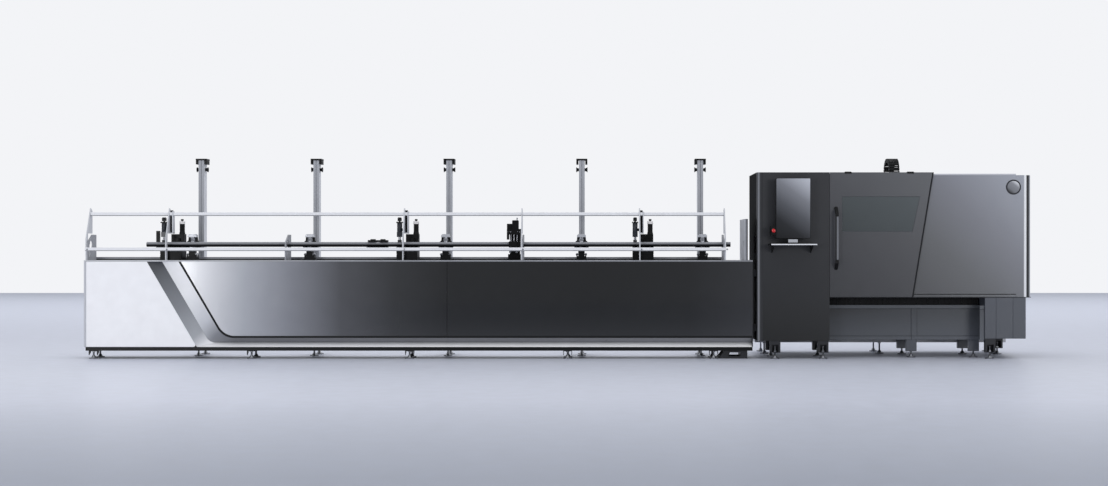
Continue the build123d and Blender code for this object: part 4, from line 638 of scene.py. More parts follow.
# ---- Levelling feet ----
# Turned feet with a ribbed pad, a threaded stem and a lock nut, in three heights
# for the bed, the cabin's legs and the rear cabinet.
def foot(stem_top, nut_low):
    """One levelling foot: pad, cone, threaded stem and nut."""
    pad = [(0, 0), (0, 46), (3, 48), (9, 48), (12, 45), (13, 26), (34, 14), (38, 11), (38, 0)]
    thread = [(36, 0)]
    for height in range(36, stem_top - 4, 4):
        thread += [(height, 10), (height + 2, 8.6)]
    made = Shape().turned("z", (0, 0), pad)
    made.turned("z", (0, 0), thread + [(stem_top, 9), (stem_top, 0)], 16)
    return made.plate("z", circle((0, 0), 18, 6), (nut_low, nut_low + 12))


FRONT_LEGS = [(CABIN_LEFT + x, deep(y)) for y in (4, 420) for x in (193, 698)]
BIN_LEGS = [(x, deep(y)) for x in (CABIN_LEFT + 1672, RIGHT_END - 550) for y in (240, 740)]
CABINET_LEGS = [(RIGHT_END - 430, deep(20)), (RIGHT_END - 167, deep(740))]
rear_x, rear_y, rear_z = spans("rear_cabinet")
bed_feet_at = [(x, deep(y), 0) for x in FOOT_X for y in (70, 286)]
bed_feet_at += [(x, deep(y), 0) for x in HEAD_X for y in (480, 772)]
leg_feet_at = [(x, y + 30, 0) for x, y in FRONT_LEGS + BIN_LEGS + CABINET_LEGS]
rear_feet_x = (rear_x[0] + 110, middle(rear_x), rear_x[1] - 110)
rear_feet_at = [(x, y, 0) for x in rear_feet_x for y in (rear_y[0] + 58, rear_y[1] - 48)]
for name, shape, places, replaced in (
    ("bed_feet", foot(84, 71), bed_feet_at, "levelling_feet"),
    ("leg_feet", foot(132, 74), leg_feet_at, None),
    ("rear_feet", foot(126, 113), rear_feet_at, None),
):
    pattern(name, shape, places, "steel", 0.6, replaces=replaced)

# ---- Columns behind the bed ----
# Extruded columns with a groove down each face on foot beams, a cap with two
# ears and a turned guide cone on each side.
COLUMN_FADE = [(0.1, "#5C5D61"), (1.0, "#8C8E93"), (1.6, "#A0A2A7"), (2.1, "#A6A8AD")]
# anodised profiles: flat matt grey with hardly a reflection, darker at the foot
COLUMN_GREY = finish("grey_anodised_profile", "#8C8E94", 0.5, (UP, COLUMN_FADE), gloss=0.3)
# the same finish where the light catches the columns' flanks
COLUMN_PALE = finish("pale_anodised_side_strip", "#D2D4D8", 0.45, gloss=0.3)
COLUMN_FOOT, EAR_FOOT, CAP_FOOT, CAP_TOP = 172, 2077, 2122, 2138
column_y = (deep(585) + deep(705)) / 2
column_places = [(x, column_y, 0) for x in HEAD_X]
half, groove, bottom = 30, 3, -26
profile = []
for turn in range(4):
    face = [(-half, -half), (-groove, -half), (-groove, bottom), (groove, bottom), (groove, -half)]
    spin = Matrix.Rotation(turn * math.pi / 2, 2)
    profile += [(x, y * 2) for x, y in (spin @ Vector(p) for p in face)]
column = Shape().plate("z", profile, (COLUMN_FOOT, CAP_FOOT - 1))
strip = Shape()
for x in ((-30.6, -30), (30, 30.6)):
    strip.slab(x, (-58, 58), (COLUMN_FOOT, CAP_FOOT - 2))
beam = Shape().slab((-40, 40), (deep(420) - column_y, deep(820) - column_y), (84.5, 164))
beam.slab((-40, 40), (-72, 72), (164, COLUMN_FOOT))
for x, y in ((-33, -66), (33, -66), (-33, 66), (33, 66)):
    beam.plate("z", circle((x, y), 6, 6), (COLUMN_FOOT, COLUMN_FOOT + 7))
pattern(
    "column_profiles", column, column_places, "mid_grey", 1.5, skin=COLUMN_GREY,
    replaces="columns",
)
pattern("column_side_strips", strip, column_places, "light_grey", 0.2, skin=COLUMN_PALE)
pattern("column_beams", beam, column_places, "dark_grey", 1.5)
tie_x = (HEAD_X[0] - half, HEAD_X[-1] + half)
Shape().slab(tie_x, deeps(705, 745), (560, 620)).piece("column_tie_bar", "dark_grey", 3)
cap = Shape().slab((-60, 60), (-69, 69), (CAP_FOOT, CAP_TOP))
for x in ((-60, -38), (38, 60)):
    cap.slab(x, (-60, 60), (EAR_FOOT, CAP_FOOT))
for x in (-49, 49):
    for y in (-30, 30):
        cap.plate("x", circle((y, 2098), 7, 12), around(x, 22))
pattern("column_cap_plates", cap, column_places, "black_paint", 2, replaces="column_caps")
cone = Shape()
cone_profile = [
    (30, 0), (30, 20), (34, 20), (34, 14), (52, 21), (56, 27), (62, 27), (62, 8), (58, 8), (58, 0),
]
for way in (-1, 1):
    cone.turned("x", (0, 2021), [(way * d, r) for d, r in cone_profile])
pattern("column_guide_cones", cone, column_places, "black_plastic", 0.8)

# ---- Fence ----
# Posts with a hooked blade, low gussets with a keyhole, two long rails through
# them and round-headed bolts where they meet.

# enamels: even satin greys, the rails palest and the gussets darker; the rails'
# lower lips carry a strip of painted shade, so that each edge reads as a line
RAIL_LIGHT = finish("light_grey_enamel_rail", "#E6E7EA", 0.4, peel=0.05)
RAIL_LIP = finish("mid_grey_enamel_lip", "#7C7E83", 0.4, peel=0.05)
POST_GREY = finish("grey_enamel_posts", "#C9CBCF", 0.4, peel=0.05)
FIN_GREY = finish("grey_enamel_gussets", "#94969B", 0.4, peel=0.05)
rail_x = spans("fence_rails")[0]
rails, lips = Shape(), Shape()
for front, back, low, high in ((40, 60, 1134, 1171), (190, 215, 1507, 1545)):
    rails.slab(rail_x, deeps(front, back), (low, high))
    lips.slab(inset(rail_x, 4), deeps(front - 1, front), (low + 0.5, low + 8))
rails.piece("fence_bars", "light_grey", 4, skin=RAIL_LIGHT, replaces="fence_rails")
lips.piece("fence_bar_lips", "mid_grey", 0.3, skin=RAIL_LIP)

HOOK_FOOT = 1320
PLAIN_X = [BED_LEFT + 17, BED_RIGHT - 288, along_bed(0.6538)]
FIN_X = [BED_LEFT + 23, PLAIN_X[2] + 6, along_bed(0.2989) + 6, BED_RIGHT - 306]
plain_places, station_places = ([(x, 0, 0) for x in group] for group in (PLAIN_X, STATION_X))
post_outline = [
    (deep(60), DECK), (deep(60), 1261), (deep(205), 1591), (deep(254), 1560),
    (deep(254), HOOK_FOOT), (deep(110), HOOK_FOOT), (deep(110), DECK),
]
rail_hole = rectangle(deeps(189.5, 215.5), (1506.5, 1545.5))
post, station_post = (Shape().plate("x", post_outline, (-6, 6), [rail_hole]) for _ in range(2))
pattern(
    "fence_post_plates", post, plain_places, "light_grey", 1.5, skin=POST_GREY,
    replaces="fence_posts",
)
blade = rectangle(deeps(180, 254), (HOOK_FOOT, 1555))
station_post.slab((6, 44), deeps(190, 254), (HOOK_FOOT, HOOK_FOOT + 10))
station_post.plate("x", blade, (34, 44), [rail_hole])
pattern("station_post_plates", station_post, station_places, "light_grey", 1.5, skin=POST_GREY)
filler_outline = [
    (deep(218), 1331), (deep(218), 1552), (deep(232), 1568), (deep(248), 1556), (deep(248), 1331),
]
filler = Shape().plate("x", filler_outline, (7, 33))
pattern("station_hook_fillers", filler, station_places, "black_paint", 1)

# Each gusset's keyhole is a round bore with a slot that comes up from below.
BORE_R = 45
fin_outline = [
    (deep(60), DECK), (deep(60), 1222), (deep(205), 1308), (deep(345), 1308), (deep(345), DECK),
]
slot_left, slot_right, slot_foot = deep(120), deep(157), 1074
exit_z = TUBE_Z - math.sqrt(BORE_R ** 2 - (slot_right - TUBE_Y) ** 2)
keyhole = [
    (slot_right, exit_z), (slot_right, slot_foot), (slot_left, slot_foot), (slot_left, TUBE_Z),
    (TUBE_Y - BORE_R, TUBE_Z),
]
keyhole += [
    (TUBE_Y - BORE_R * math.cos(t), TUBE_Z + BORE_R * math.sin(t)) for t in degrees(12, 232, 12)
]
fin = Shape().plate("x", fin_outline, (0, 12), [keyhole])
pattern(
    "fence_gussets", fin, [(x, 0, 0) for x in FIN_X], "dark_grey", 1.2, skin=FIN_GREY,
    replaces="fence_fins",
)
bolt = Shape().turned("y", (0, 0), [(0, 0), (0, 9), (-2, 9), (-5, 6), (-6, 0)], 16)
bolt_places = [(x + 18, deep(40), 1152) for x in PLAIN_X + STATION_X]
pattern("fence_bolts", bolt, bolt_places, "steel", 0)

# ---- Guide rail and tube ----
# A light rail on a black web of painted shade behind the gussets, with a thin black
# strip of painted groove shade in its face, and the stock tube with its open bore.

# anodised rail: pale matt grey, so that the painted groove shade reads as a thin dark line
GUIDE_GREY = finish("grey_anodised_guide", "#9A9CA1", 0.4, gloss=0.3)
guide_x, guide_y = spans("guide_rail")[0], deep(372)
Shape().slab(guide_x, around(guide_y, 40), (1050, 1070)).piece(
    "guide_rail_head", "light_grey", 1.5, skin=GUIDE_GREY, replaces="guide_rail"
)
# painted shade: the web's black and the thin black strip on the rail's face
web = Shape().slab(guide_x, around(guide_y, 20), (DECK, 1050))
web.slab(guide_x, (guide_y - 20.5, guide_y - 19.5), (1058, 1062))
web.piece("guide_rail_web", "black_anodised", 0.4)
bore = [(tube_x[0], 23), (tube_x[0], 26), (tube_x[1], 26), (tube_x[1], 23), (tube_x[0], 23)]
Shape().turned("x", TUBE, bore, 48).piece("raw_tube", "tube_steel", 0.6, replaces="stock_tube")

# ---- Support heads ----
# A square sleeve in the deck, and a head that drops into it: dark side plates
# round an upright steel roller, a carrying roller under the tube, a pale cap.

# satin nickel: a soft, slightly metallic pale grey on the caps
CAP_PALE = finish("satin_nickel_cap", "#B9BBC0", 0.35, metal=0.4)
SLEEVE_TOP = 1080
HEAD_BOTTOM = spans("support_head_1")[2][0]
base = Shape()
socket = rectangle((-34.2, 34.2), (-34.2, 34.2))
for x, y, z in (
    ((-52, 52), (-52, 52), (1043, SLEEVE_TOP)),
    ((-62, 62), (-60, 62), (DECK, 1043)),
    ((-45, 45), (-45, 45), (880, DECK)),
):
    base.plate("z", rectangle(x, y), z, [socket])
cheek = [(-6.5, SLEEVE_TOP), (6.5, SLEEVE_TOP), (6.5, 1098), (4, 1103), (-4, 1103), (-6.5, 1098)]
wheel = [
    (-33, 0), (-33, 11), (-30, 13), (-6, 13), (-4, 11), (4, 11), (6, 13), (30, 13), (33, 11),
    (33, 0),
]
wheels = Shape()
for way in (-1, 1):
    for end in (-1, 1):
        base.plate("y", [(x + way * 47.3, z) for x, z in cheek], around(end * 38, 8))
        base.plate("z", circle((way * 45, end * 43), 5, 6), (SLEEVE_TOP, SLEEVE_TOP + 5))
    wheels.turned("y", (way * 47.3, 1099), wheel, 24)
head_places = [(x, HEAD_Y, 0) for x in HEAD_X]
pattern("support_sleeves", base, head_places, "black_anodised", 1.2, replaces="support_bases")
pattern("support_guide_wheels", wheels, head_places, "steel", 0.4)

low, high = HEAD_Y + 8, HEAD_Y + 40
CHEEK_FOOT, CHEEK_TOP = 1171.2, 1281
wing = [
    (28.6, CHEEK_FOOT), (77, CHEEK_FOOT), (77, 1220), (49, 1248), (46.5, CHEEK_TOP),
    (28.6, CHEEK_TOP),
]
roller = [
    (1171.4, 0), (1171.4, 25), (1174, 27.9), (1182, 27.9), (1184, 25.5), (1188, 25.5),
    (1191, 27.6), (1262, 27.6), (1265, 25.5), (1269, 25.5), (1271, 27.9), (1278, 27.9),
    (1280.6, 25), (1280.6, 0),
]
carrier = [(-26, 0), (-26, 12), (-24, 12), (-24, 19), (-20, 20), (16, 20), (20, 19), (20.2, 0)]
for number, x in enumerate(HEAD_X, 1):
    body = f"support_{number}"
    plates = Shape().slab(around(x, 68), around(HEAD_Y, 68), (HEAD_BOTTOM, 1146))
    plates.slab(around(x, 106), around(HEAD_Y, 68), (1146.2, 1171))
    for way in (-1, 1):
        plates.plate("y", [(x + way * a, z) for a, z in wing], (low, high))
        plates.slab(around(x + way * 62, 14), (low - 4, low), (1180, 1214))
    plates.slab(around(x, 57), (HEAD_Y + 29, high), (CHEEK_FOOT, CHEEK_TOP))
    plates.slab(around(x, 12), (TUBE_Y - 27, TUBE_Y - 21), (1146.2, 1152))
    plates.piece(
        f"support_frame_{number}", "black_anodised", 1.5, body=body,
        replaces=f"support_head_{number}",
    )
    steel = Shape().turned("z", (x, HEAD_Y), roller, 40)
    steel.turned("y", (x, TUBE_Z - 46.3), carrier, start=TUBE_Y)
    lid = Shape().slab(around(x, 93), (HEAD_Y - 28, high), (1281.2, 1306))
    lid.slab(around(x, 76), (HEAD_Y - 20, high - 8), (1306, 1314))
    for way in (-1, 1):
        for z in (1188, 1206):
            steel.bolt((x + way * 62, z), low - 4, 4.5, 4)
        lid.bolt((x + way * 34, 1293), HEAD_Y - 28, 6, 5, 16)
    steel.piece(f"support_rollers_{number}", "steel", 0.5, body=body)
    lid.piece(f"support_cap_{number}", "white_trim", 2, CAP_PALE, body=body)

# ---- Clamp stations ----
# Two dark blocks on either side of the post, a motor with a pale disc on the
# right one, and an upright enamelled press cylinder over the tube on the left.

# enamel: a dark blue-grey with a small wet highlight on the cylinders
PRESS_BLUE = finish("grey_blue_enamel", "#20242B", 0.35, coat=0.1, gloss=0.3)
# rubber: a dull pad that shows no reflection under the press
RUBBER = finish("grey_rubber", "#2A2B2D", 0.8, peel=0.4)
PAD_FOOT, BLOCK_TOP = TUBE_Z + TUBE_R + 0.3, TUBE_Z - TUBE_R - 0.3
UNIT_TOP, FLANGE_FOOT, FLANGE_TOP = 1314, 1430, 1441
blocks = Shape()
for x, front, back in (((-75, -6), 120, 254), ((10, 147), 120, 330)):
    y = deeps(front, back)
    blocks.slab(x, y, (DECK, 1096)).slab(inset(x, 3), inset(y, 3), (1096, 1100))
    blocks.slab(x, y, (1100, BLOCK_TOP))
    for side in inset(x, 14):
        for z in (1052, 1082, 1116, 1160):
            blocks.bolt((side, z), y[0])
    blocks.slab(x, (y[1] - 0.5, y[1]), (DECK, BLOCK_TOP))
blocks.slabs(
    ((10, 147), deeps(240, 330), (BLOCK_TOP, UNIT_TOP)),
    ((22, 135), deeps(236, 240), (1268, 1302)),
    ((62, 95), deeps(206.6, 240), (1191, 1269)),
    ((52, 105), deeps(214, 240), (1196, 1262)),
)
pattern("clamp_blocks", blocks, station_places, "black_anodised", 1.5, replaces="clamp_units")
motor = [(1314, 0), (1314, 31), (1328, 31), (1330, 28.5), (1338, 28.5)]
for low in range(1340, 1413, 9):
    motor += [(low, 28.5), (low + 2, 26), (low + 5, 26), (low + 7, 28.5)]
motor += [(1423, 28.5), (1423, 0)]
disc = [
    (1423, 0), (1423, 30), (1426, 31), (1438, 31), (1441, 27), (1444, 31), (1450, 31), (1452, 28),
    (1452, 0),
]
knob = [(1452, 0), (1452, 9), (1457, 9), (1459, 15), (1472, 15), (1475, 12), (1475, 0)]
for name, profile, sides, slot in (
    ("clamp_motors", motor, 32, "black_plastic"),
    ("clamp_discs", disc, 32, "white_trim"),
    ("clamp_knobs", knob, 24, "black_plastic"),
):
    turned = Shape().turned("z", (115, deep(285)), profile, sides)
    pattern(name, turned, station_places, slot, 0.4)

PRESS_X = -48
PRESS = (PRESS_X, TUBE_Y)
barrel = [
    (1404, 0), (1404, 13.4), (1337, 13.4), (1337, 25), (1341, 27), (1380, 27), (1382, 25.5),
    (1386, 25.5), (1388, 27), (1424, 27), (1430, 25), (1430, 0),
]
press = Shape().turned("z", PRESS, barrel, 40)
press_foot = rectangle((PRESS_X - 27, PRESS_X + 27), around(TUBE_Y, 54))
press.plate("z", press_foot, (1283, 1337), [circle(PRESS, 13.4)])
yoke = Shape().slab(around(PRESS_X, 66), around(TUBE_Y, 54), (FLANGE_FOOT, FLANGE_TOP))
yoke.slab((PRESS_X + 20, -6), (TUBE_Y - 2, TUBE_Y + 27), (1345, 1374))
for x in (-26, 26):
    for y in (-20, 20):
        nut = circle((PRESS_X + x, TUBE_Y + y), 4.5, 6)
        yoke.plate("z", nut, (FLANGE_TOP, FLANGE_TOP + 5))
valve = Shape().turned("z", PRESS, [(1441, 0), (1441, 14), (1443, 12), (1449, 12), (1451, 0)], 24)
for size, z in ((40, (1451, 1484)), (32, (1484, 1491))):
    valve.slab(around(PRESS_X, size), around(TUBE_Y, size), z)
pattern("press_cylinders", press, station_places, "mid_grey", 1.2, skin=PRESS_BLUE)
pattern("press_flanges", yoke, station_places, "black_anodised", 1)
pattern("press_valves", valve, station_places, "black_plastic", 1.5)
rod_profile = [(1250, 0), (1250, 16), (1254, 16), (1255, 13), (1374, 13), (1376, 11), (1376, 0)]
for number, x in enumerate(STATION_X, 1):
    body = f"press_{number}"
    Shape().turned("z", (x + PRESS_X, TUBE_Y), rod_profile).piece(
        f"press_rod_{number}", "steel", 0.4, replaces=f"clamp_press_{number}", body=body
    )
    pad = Shape()
    for size, z in ((40, (PAD_FOOT + 8, 1250)), (38, (PAD_FOOT, PAD_FOOT + 8))):
        pad.slab(around(x + PRESS_X, size), around(TUBE_Y, size), z)
    pad.piece(f"press_pad_{number}", "steel", 1.2, RUBBER, body=body)

first, stop_y = STATION_X[0], deeps(207, 240)
Shape().slabs(
    ((first - 142, first - 106), stop_y, (1140, 1348)),
    ((first - 106, first - 75), stop_y, (1140, 1170)),
    ((first - 138, first - 110), (stop_y[0] - 1.5, stop_y[0]), (1232, 1342)),
).piece("tube_end_stop", "black_anodised", 1.2)

# ---- Feed gripper ----
# A jaw block round the tube under a box with its knob, on an arm and a saddle
# over the guide rail.
grip_x = spans("feed_gripper")[0]
left, right = grip_x
jaw_y, saddle_y = deeps(125, 240), around(guide_y, 64.6)
front, back = jaw_y
tube_hole = circle(TUBE, 28)
JAW_TOP, BOX_FOOT, BOX_TOP, SADDLE_FOOT = 1236, 1310, 1368, 1071
jaw = Shape()
jaw.plate("x", rectangle(jaw_y, (1170, JAW_TOP)), (left + 22, right - 40), [tube_hole])
jaw.plate("x", rectangle((front + 4, back), (1172, 1234)), (right - 38, right), [tube_hole])
jaw.slabs(
    (grip_x, jaw_y, (BOX_FOOT, 1366)),
    (inset(grip_x, 2), inset(jaw_y, 2), (1366, BOX_TOP)),
    ((right - 22, right), jaw_y, (JAW_TOP, BOX_FOOT)),
    ((left, left + 20), jaw_y, (1255, BOX_FOOT)),
    ((left + 56, right - 26), jaw_y, (BOX_TOP, 1456)),
    ((left + 60, right - 30), inset(jaw_y, 4), (1456, 1460)),
    ((left, left + 53), (front + 20, back), (BOX_TOP, 1423)),
    (grip_x, (back, saddle_y[1]), (BOX_FOOT, BOX_TOP)),
    (inset(grip_x, 20), saddle_y, (1100.3, BOX_FOOT)),
    (grip_x, saddle_y, (SADDLE_FOOT, 1100.3)),
    (grip_x, (saddle_y[0], saddle_y[0] + 12), (1050, SADDLE_FOOT)),
    (grip_x, (saddle_y[1] - 12, saddle_y[1]), (1050, SADDLE_FOOT)),
    (around(left + 33, 10), around(TUBE_Y, 30), (1124, 1170)),
    (around(left + 104, 10), around(TUBE_Y, 30), (1124, 1170)),
)
jaw.piece("gripper_body", "black_anodised", 1.5, replaces="feed_gripper", body="gripper")
bright = Shape()
for x in (left + 40, middle(grip_x), right - 40):
    bright.rod("z", (x, TUBE_Y), (JAW_TOP, BOX_FOOT), 8, 20)
guide_roller = [(-25, 0), (-25, 10), (-22, 12), (22, 12), (25, 10), (25, 0)]
for x in (left + 33, left + 104):
    bright.turned("y", (x, 1124), guide_roller, 24, TUBE_Y)
knob = [(1460, 0), (1460, 5), (1470, 5), (1472, 8), (1486, 8), (1488, 6), (1488, 0)]
bright.turned("z", (right - 42, TUBE_Y), knob, 20)
for x in (left + 10, left + 44, right - 34, right - 10):
    bright.bolt((x, 1338), front)
bright.piece("gripper_rods", "steel", 0.4, body="gripper")

# ---- Tube rest and entry guide ----
# A notched rest on the lower rail, and a laminated guide plate in front of the
# cabin with the tube's hole through it.
rest_x, tube_foot, tube_top = spans("tube_rest")[0], TUBE_Z - 26.3, TUBE_Z + 26.3
rest = Shape().slab(rest_x, deeps(60, 228), (1160, tube_foot))
rest.slab(rest_x, deeps(218, 228), (tube_foot, TUBE_Z + 46.3))
for way in (-1, 1):
    arm_x = sorted((middle(rest_x) + way * 105, middle(rest_x) + way * 20))
    rest.slab(arm_x, (TUBE_Y - 36, deep(218)), (tube_top, tube_top + 20))
    pad_x = around(middle(rest_x) + way * 52.5, 52)
    rest.slab(pad_x, around(TUBE_Y, 30), (tube_top + 20, tube_top + 30))
rest.piece("tube_rest_plates", "black_anodised", 1.5, replaces="tube_rest")
bolt = Shape().turned("y", (0, 0), [(0, 0), (0, 5), (-2, 5), (-3, 0)], 12)
bolt_places = [(middle(rest_x) + x, deep(60), 1169) for x in (-90, -45, 45, 90)]
pattern("tube_rest_bolts", bolt, bolt_places, "steel", 0)
(sheet, _), guide_plate_y, guide_plate_z = spans("entry_guide")
guide_face = rectangle(guide_plate_y, guide_plate_z)
# paints of the three layers: light, middle and dark grey, so the edge reads as
# three lines
for name, start, end, slot, tone, replaced in (
    ("light", 0, 11, "light_grey", "#A9ABB0", "entry_guide"),
    ("middle", 11.2, 24, "mid_grey", "#6E7075", None),
    ("dark", 24.2, 34, "dark_grey", "#35363A", None),
):
    skin = finish(f"entry_guide_{name}_paint", tone, 0.4, peel=0.1)
    layer = Shape().plate("x", guide_face, (sheet + start, sheet + end), [circle(TUBE, 40, 40)])
    layer.piece(f"entry_guide_{name}", slot, 1.5, skin, replaced)

# ---- Coupling and bed end ----
# Bolted blocks hold the bed's end panel to the cabin wall.
collar = Shape().slab((0, 8), (-46, 46), (-46, 46))
collar_places = [(BED_RIGHT, y, z) for y in (BED_FACE + 80, BED_FACE + 300) for z in (324, 902)]
pattern("coupling_collars", collar, collar_places, "black_paint", 2)

# ---- Cabin covers ----
# Charcoal covers with a painted fade of the softboxes' light and a painted highlight
# on their bend, a paler fixed panel with painted light and a wrapped corner of painted
# highlight and shade, and a blank badge in a turned ring.
WALL = 4
DOOR_FOOT, HIGH_ROW, RIM_FOOT, RIM_TOP = 651, 683, 522, 559
sheet_metal = {"grain": 0.006, "peel": 0.03}
# satin coats on the covers: dark sheets with painted shade, darker towards their foot and paling
# slowly towards the roof
COVER_FADE = [(0.6, "#151617"), (1.3, "#26272A"), (1.9, "#2E2F32"), (2.36, "#2D2E31")]
COVER_SKIN = finish(
    "charcoal_cover_coat", "#2E2F32", 0.42, ((0.18, 0, 1), COVER_FADE), gloss=0.35, **sheet_metal
)
# the same coat round the bend, with one painted highlight line
EDGE_HIGHLIGHT_FADE = [
    (2.098, "#141517"), (2.104, "#3A3B3F"), (2.112, "#808287"), (2.122, "#6A6C70"),
    (2.134, "#2E2F32"), (2.16, "#242528"),
]
EDGE_SKIN = finish(
    "charcoal_cover_corner_coat", "#2E2F32", 0.4, (ALONG, EDGE_HIGHLIGHT_FADE), grain=0.006, gloss=0.35
)
# a little smoother on the panel: mid grey with painted light that turns it pale at the upper right
PANEL_FADE = [(3.25, "#494A4D"), (3.7, "#585A5D"), (4.2, "#70727A"), (4.85, "#9296A0")]
PANEL_SKIN = finish(
    "mid_grey_panel_coat", "#7E8086", 0.34, ((0.7, 0, 0.75), PANEL_FADE), **sheet_metal
)
# the panel's bend: a painted highlight line in white, a painted shade line in black and a grey edge
CORNER_FADE = [
    (4.903, "#8C8E94"), (4.911, "#D2D4D7"), (4.926, "#E6E7EA"), (4.934, "#5D6065"),
    (4.942, "#101113"), (4.955, "#0C0D0E"), (4.965, "#8A8C90"), (4.98, "#C4C6CA"),
]
CORNER_SKIN = finish("shadowed_corner_coat", "#1B1C1E", 0.3, (ALONG, CORNER_FADE), grain=0.006)
# matt black: a wall that gives nothing back, painted shade for the dark gap beside the covers
SIDE_SKIN = finish("matt_black_side_coat", "#060708", 0.8, gloss=0.05)
paint("roof", SLOTS["charcoal"])
paint("left_wall", SIDE_SKIN)


def bend(centre, radius, angles):
    """A quarter bend of sheet round a centre: its outer and inner points."""
    return arc(centre, radius, angles), arc(centre, radius - WALL, angles[::-1])


_, (cover_face, cover_back), cover_z = spans("front_cover")
SHELL_TOP = cover_z[1]
flat_left = CABIN_LEFT + 62
cover_sheet = (cover_face, cover_face + WALL)
wrap = Shape().slab((flat_left, COVER_RIGHT), cover_sheet, cover_z)
wrap.slab((COVER_RIGHT - WALL, COVER_RIGHT), (cover_face + WALL, cover_back), cover_z)
wrap.piece("cover_face", "charcoal", 1.2, skin=COVER_SKIN, replaces="front_cover")
outer, inner = bend((CABIN_LEFT + 38, cover_face + 38), 38, degrees(180, 271, 6))
edge_outline = [(CABIN_LEFT, cover_back), *outer]
edge_outline += [(flat_left - 0.2, y) for y in cover_sheet]
edge_outline += [*inner, (CABIN_LEFT + WALL, cover_back)]
Shape().plate("z", edge_outline, cover_z).piece("cover_corner", "charcoal", 0.6, skin=EDGE_SKIN)

_, (panel_y, _), panel_z = spans("right_panel")
rail_right = spans("door_rails")[0][1]
rail_end = rail_right + 0.3
SLOPE = 215 / 1310
panel_top = CABIN_LEFT + 1859 - 29 * SLOPE - 60
panel_foot = CABIN_LEFT + 1644 + 32 * SLOPE - 60
flat_right = RIGHT_END - 80
panel_outline = [
    (panel_foot, HIGH_ROW), (rail_end, HIGH_ROW), (rail_end, panel_z[0]),
    (flat_right, panel_z[0]), (flat_right, panel_z[1]), (panel_top, panel_z[1]),
]
Shape().plate("y", panel_outline, (panel_y, panel_y + WALL)).piece(
    "fixed_panel_face", "mid_grey", 0, skin=PANEL_SKIN, replaces="right_panel"
)
outer, inner = bend((RIGHT_END - 56, panel_y + 56), 56, degrees(-90, 1, 6))
corner_outline = [(flat_right + 0.2, panel_y + WALL), (flat_right + 0.2, panel_y), *outer]
corner_outline += [(RIGHT_END, deep(78)), (RIGHT_END - WALL, deep(78)), *inner]
Shape().plate("z", corner_outline, panel_z).piece(
    "fixed_panel_corner", "mid_grey", 0.8, skin=CORNER_SKIN
)

badge_x, (badge_front, badge_back), badge_z = spans("badge_disc")
badge_at = (middle(badge_x), middle(badge_z))
ring = [
    (badge_back - badge_front, 0), (badge_back - badge_front, 79), (1, 79), (0, 77), (0, 68),
    (1.2, 66), (1.2, 0),
]
Shape().turned("y", badge_at, ring, 64, badge_front).piece(
    "badge_ring", "dark_grey", 0.3, replaces="badge_disc"
)
# satin metal: a grey disc with one painted highlight at its upper right edge
BADGE_FADE = [(4.26, "#2A2B2E"), (4.29, "#6C6E74"), (4.35, "#82848A"), (4.385, "#D2D4D8")]
BADGE_FACE = finish(
    "satin_badge_face", "#7C7E84", 0.35, ((0.6, 0, 0.8), BADGE_FADE), grain=0.0, gloss=0.3
)
disc = [(1.2, 0), (1.2, 65), (0.4, 63), (0.2, 0)]
Shape().turned("y", badge_at, disc, 64, badge_front).piece(
    "badge_face", "white_trim", 0, skin=BADGE_FACE
)

# ---- Sliding door ----
# A door leaf with a slanted edge and a flush window in a thin gasket, on two
# hangers, with a bow handle. All of it slides with the door.
DOOR_RISE = (0.5, 0, 0.86)
DOOR_FADE = [(1.95, "#2F3033"), (2.4, "#38393D"), (2.9, "#434448"), (3.5, "#505256")]
# satin coat: a dark leaf with painted light that turns it paler to the upper right
DOOR_SKIN = finish("charcoal_door_coat", "#3E3F43", 0.34, (DOOR_RISE, DOOR_FADE), **sheet_metal)
# painted shadow: a near black strip down the slanted edge, where the gap beside the door lies in
# shade
SHADOW_STRIP_SKIN = finish("dark_door_edge_seal", "#1B1C1E", 0.6, gloss=0.2)
# tinted pane: smooth and slightly green beside the door's satin, with painted light paling it
# towards the upper right
PANE_FADE = [(2.6, "#383E3F"), (3.4, "#515759")]
WINDOW_SKIN = finish(
    "teal_tinted_safety_pane", "#3D4446", 0.12, (DOOR_RISE, PANE_FADE), coat=0.5, grain=0.0
)
# gasket rubber: a dull line that only just parts pane and leaf
GASKET_SKIN = finish("charcoal_rubber_gasket", "#4A4E50", 0.6, gloss=0.3)
SHADOW_STRIP_WIDTH = 16
HANGER_X = (CABIN_LEFT + 959, CABIN_LEFT + 1615)
door_left, door_foot, door_top = COVER_RIGHT + 3, CABIN_LEFT + 1644, CABIN_LEFT + 1859
door_outline = [
    (door_left, DOOR_FOOT), (door_foot - SHADOW_STRIP_WIDTH, DOOR_FOOT), (door_top - SHADOW_STRIP_WIDTH, SHELL_TOP),
]
for x in reversed(HANGER_X):
    notch_foot = SHELL_TOP - 14
    door_outline += [(x + 37, SHELL_TOP), (x + 37, notch_foot)]
    door_outline += [(x - 37, notch_foot), (x - 37, SHELL_TOP)]
door_outline.append((door_left, SHELL_TOP))
shadow_foot, shadow_top = door_foot - SHADOW_STRIP_WIDTH + 0.3, door_top - SHADOW_STRIP_WIDTH + 0.3
shadow_strip_outline = [
    (shadow_foot, DOOR_FOOT), (door_foot, DOOR_FOOT), (door_top, SHELL_TOP), (shadow_top, SHELL_TOP),
]


def window_outline(grow):
    """The window's outline, larger by a margin."""
    left, foot_z, top_z = CABIN_LEFT + 893 - grow, 1337 - grow, 1707 + grow
    foot_right, top_right = CABIN_LEFT + 1635 + grow, CABIN_LEFT + 1712 + grow
    return [(left, foot_z), (foot_right, foot_z), (top_right, top_z), (left, top_z)]


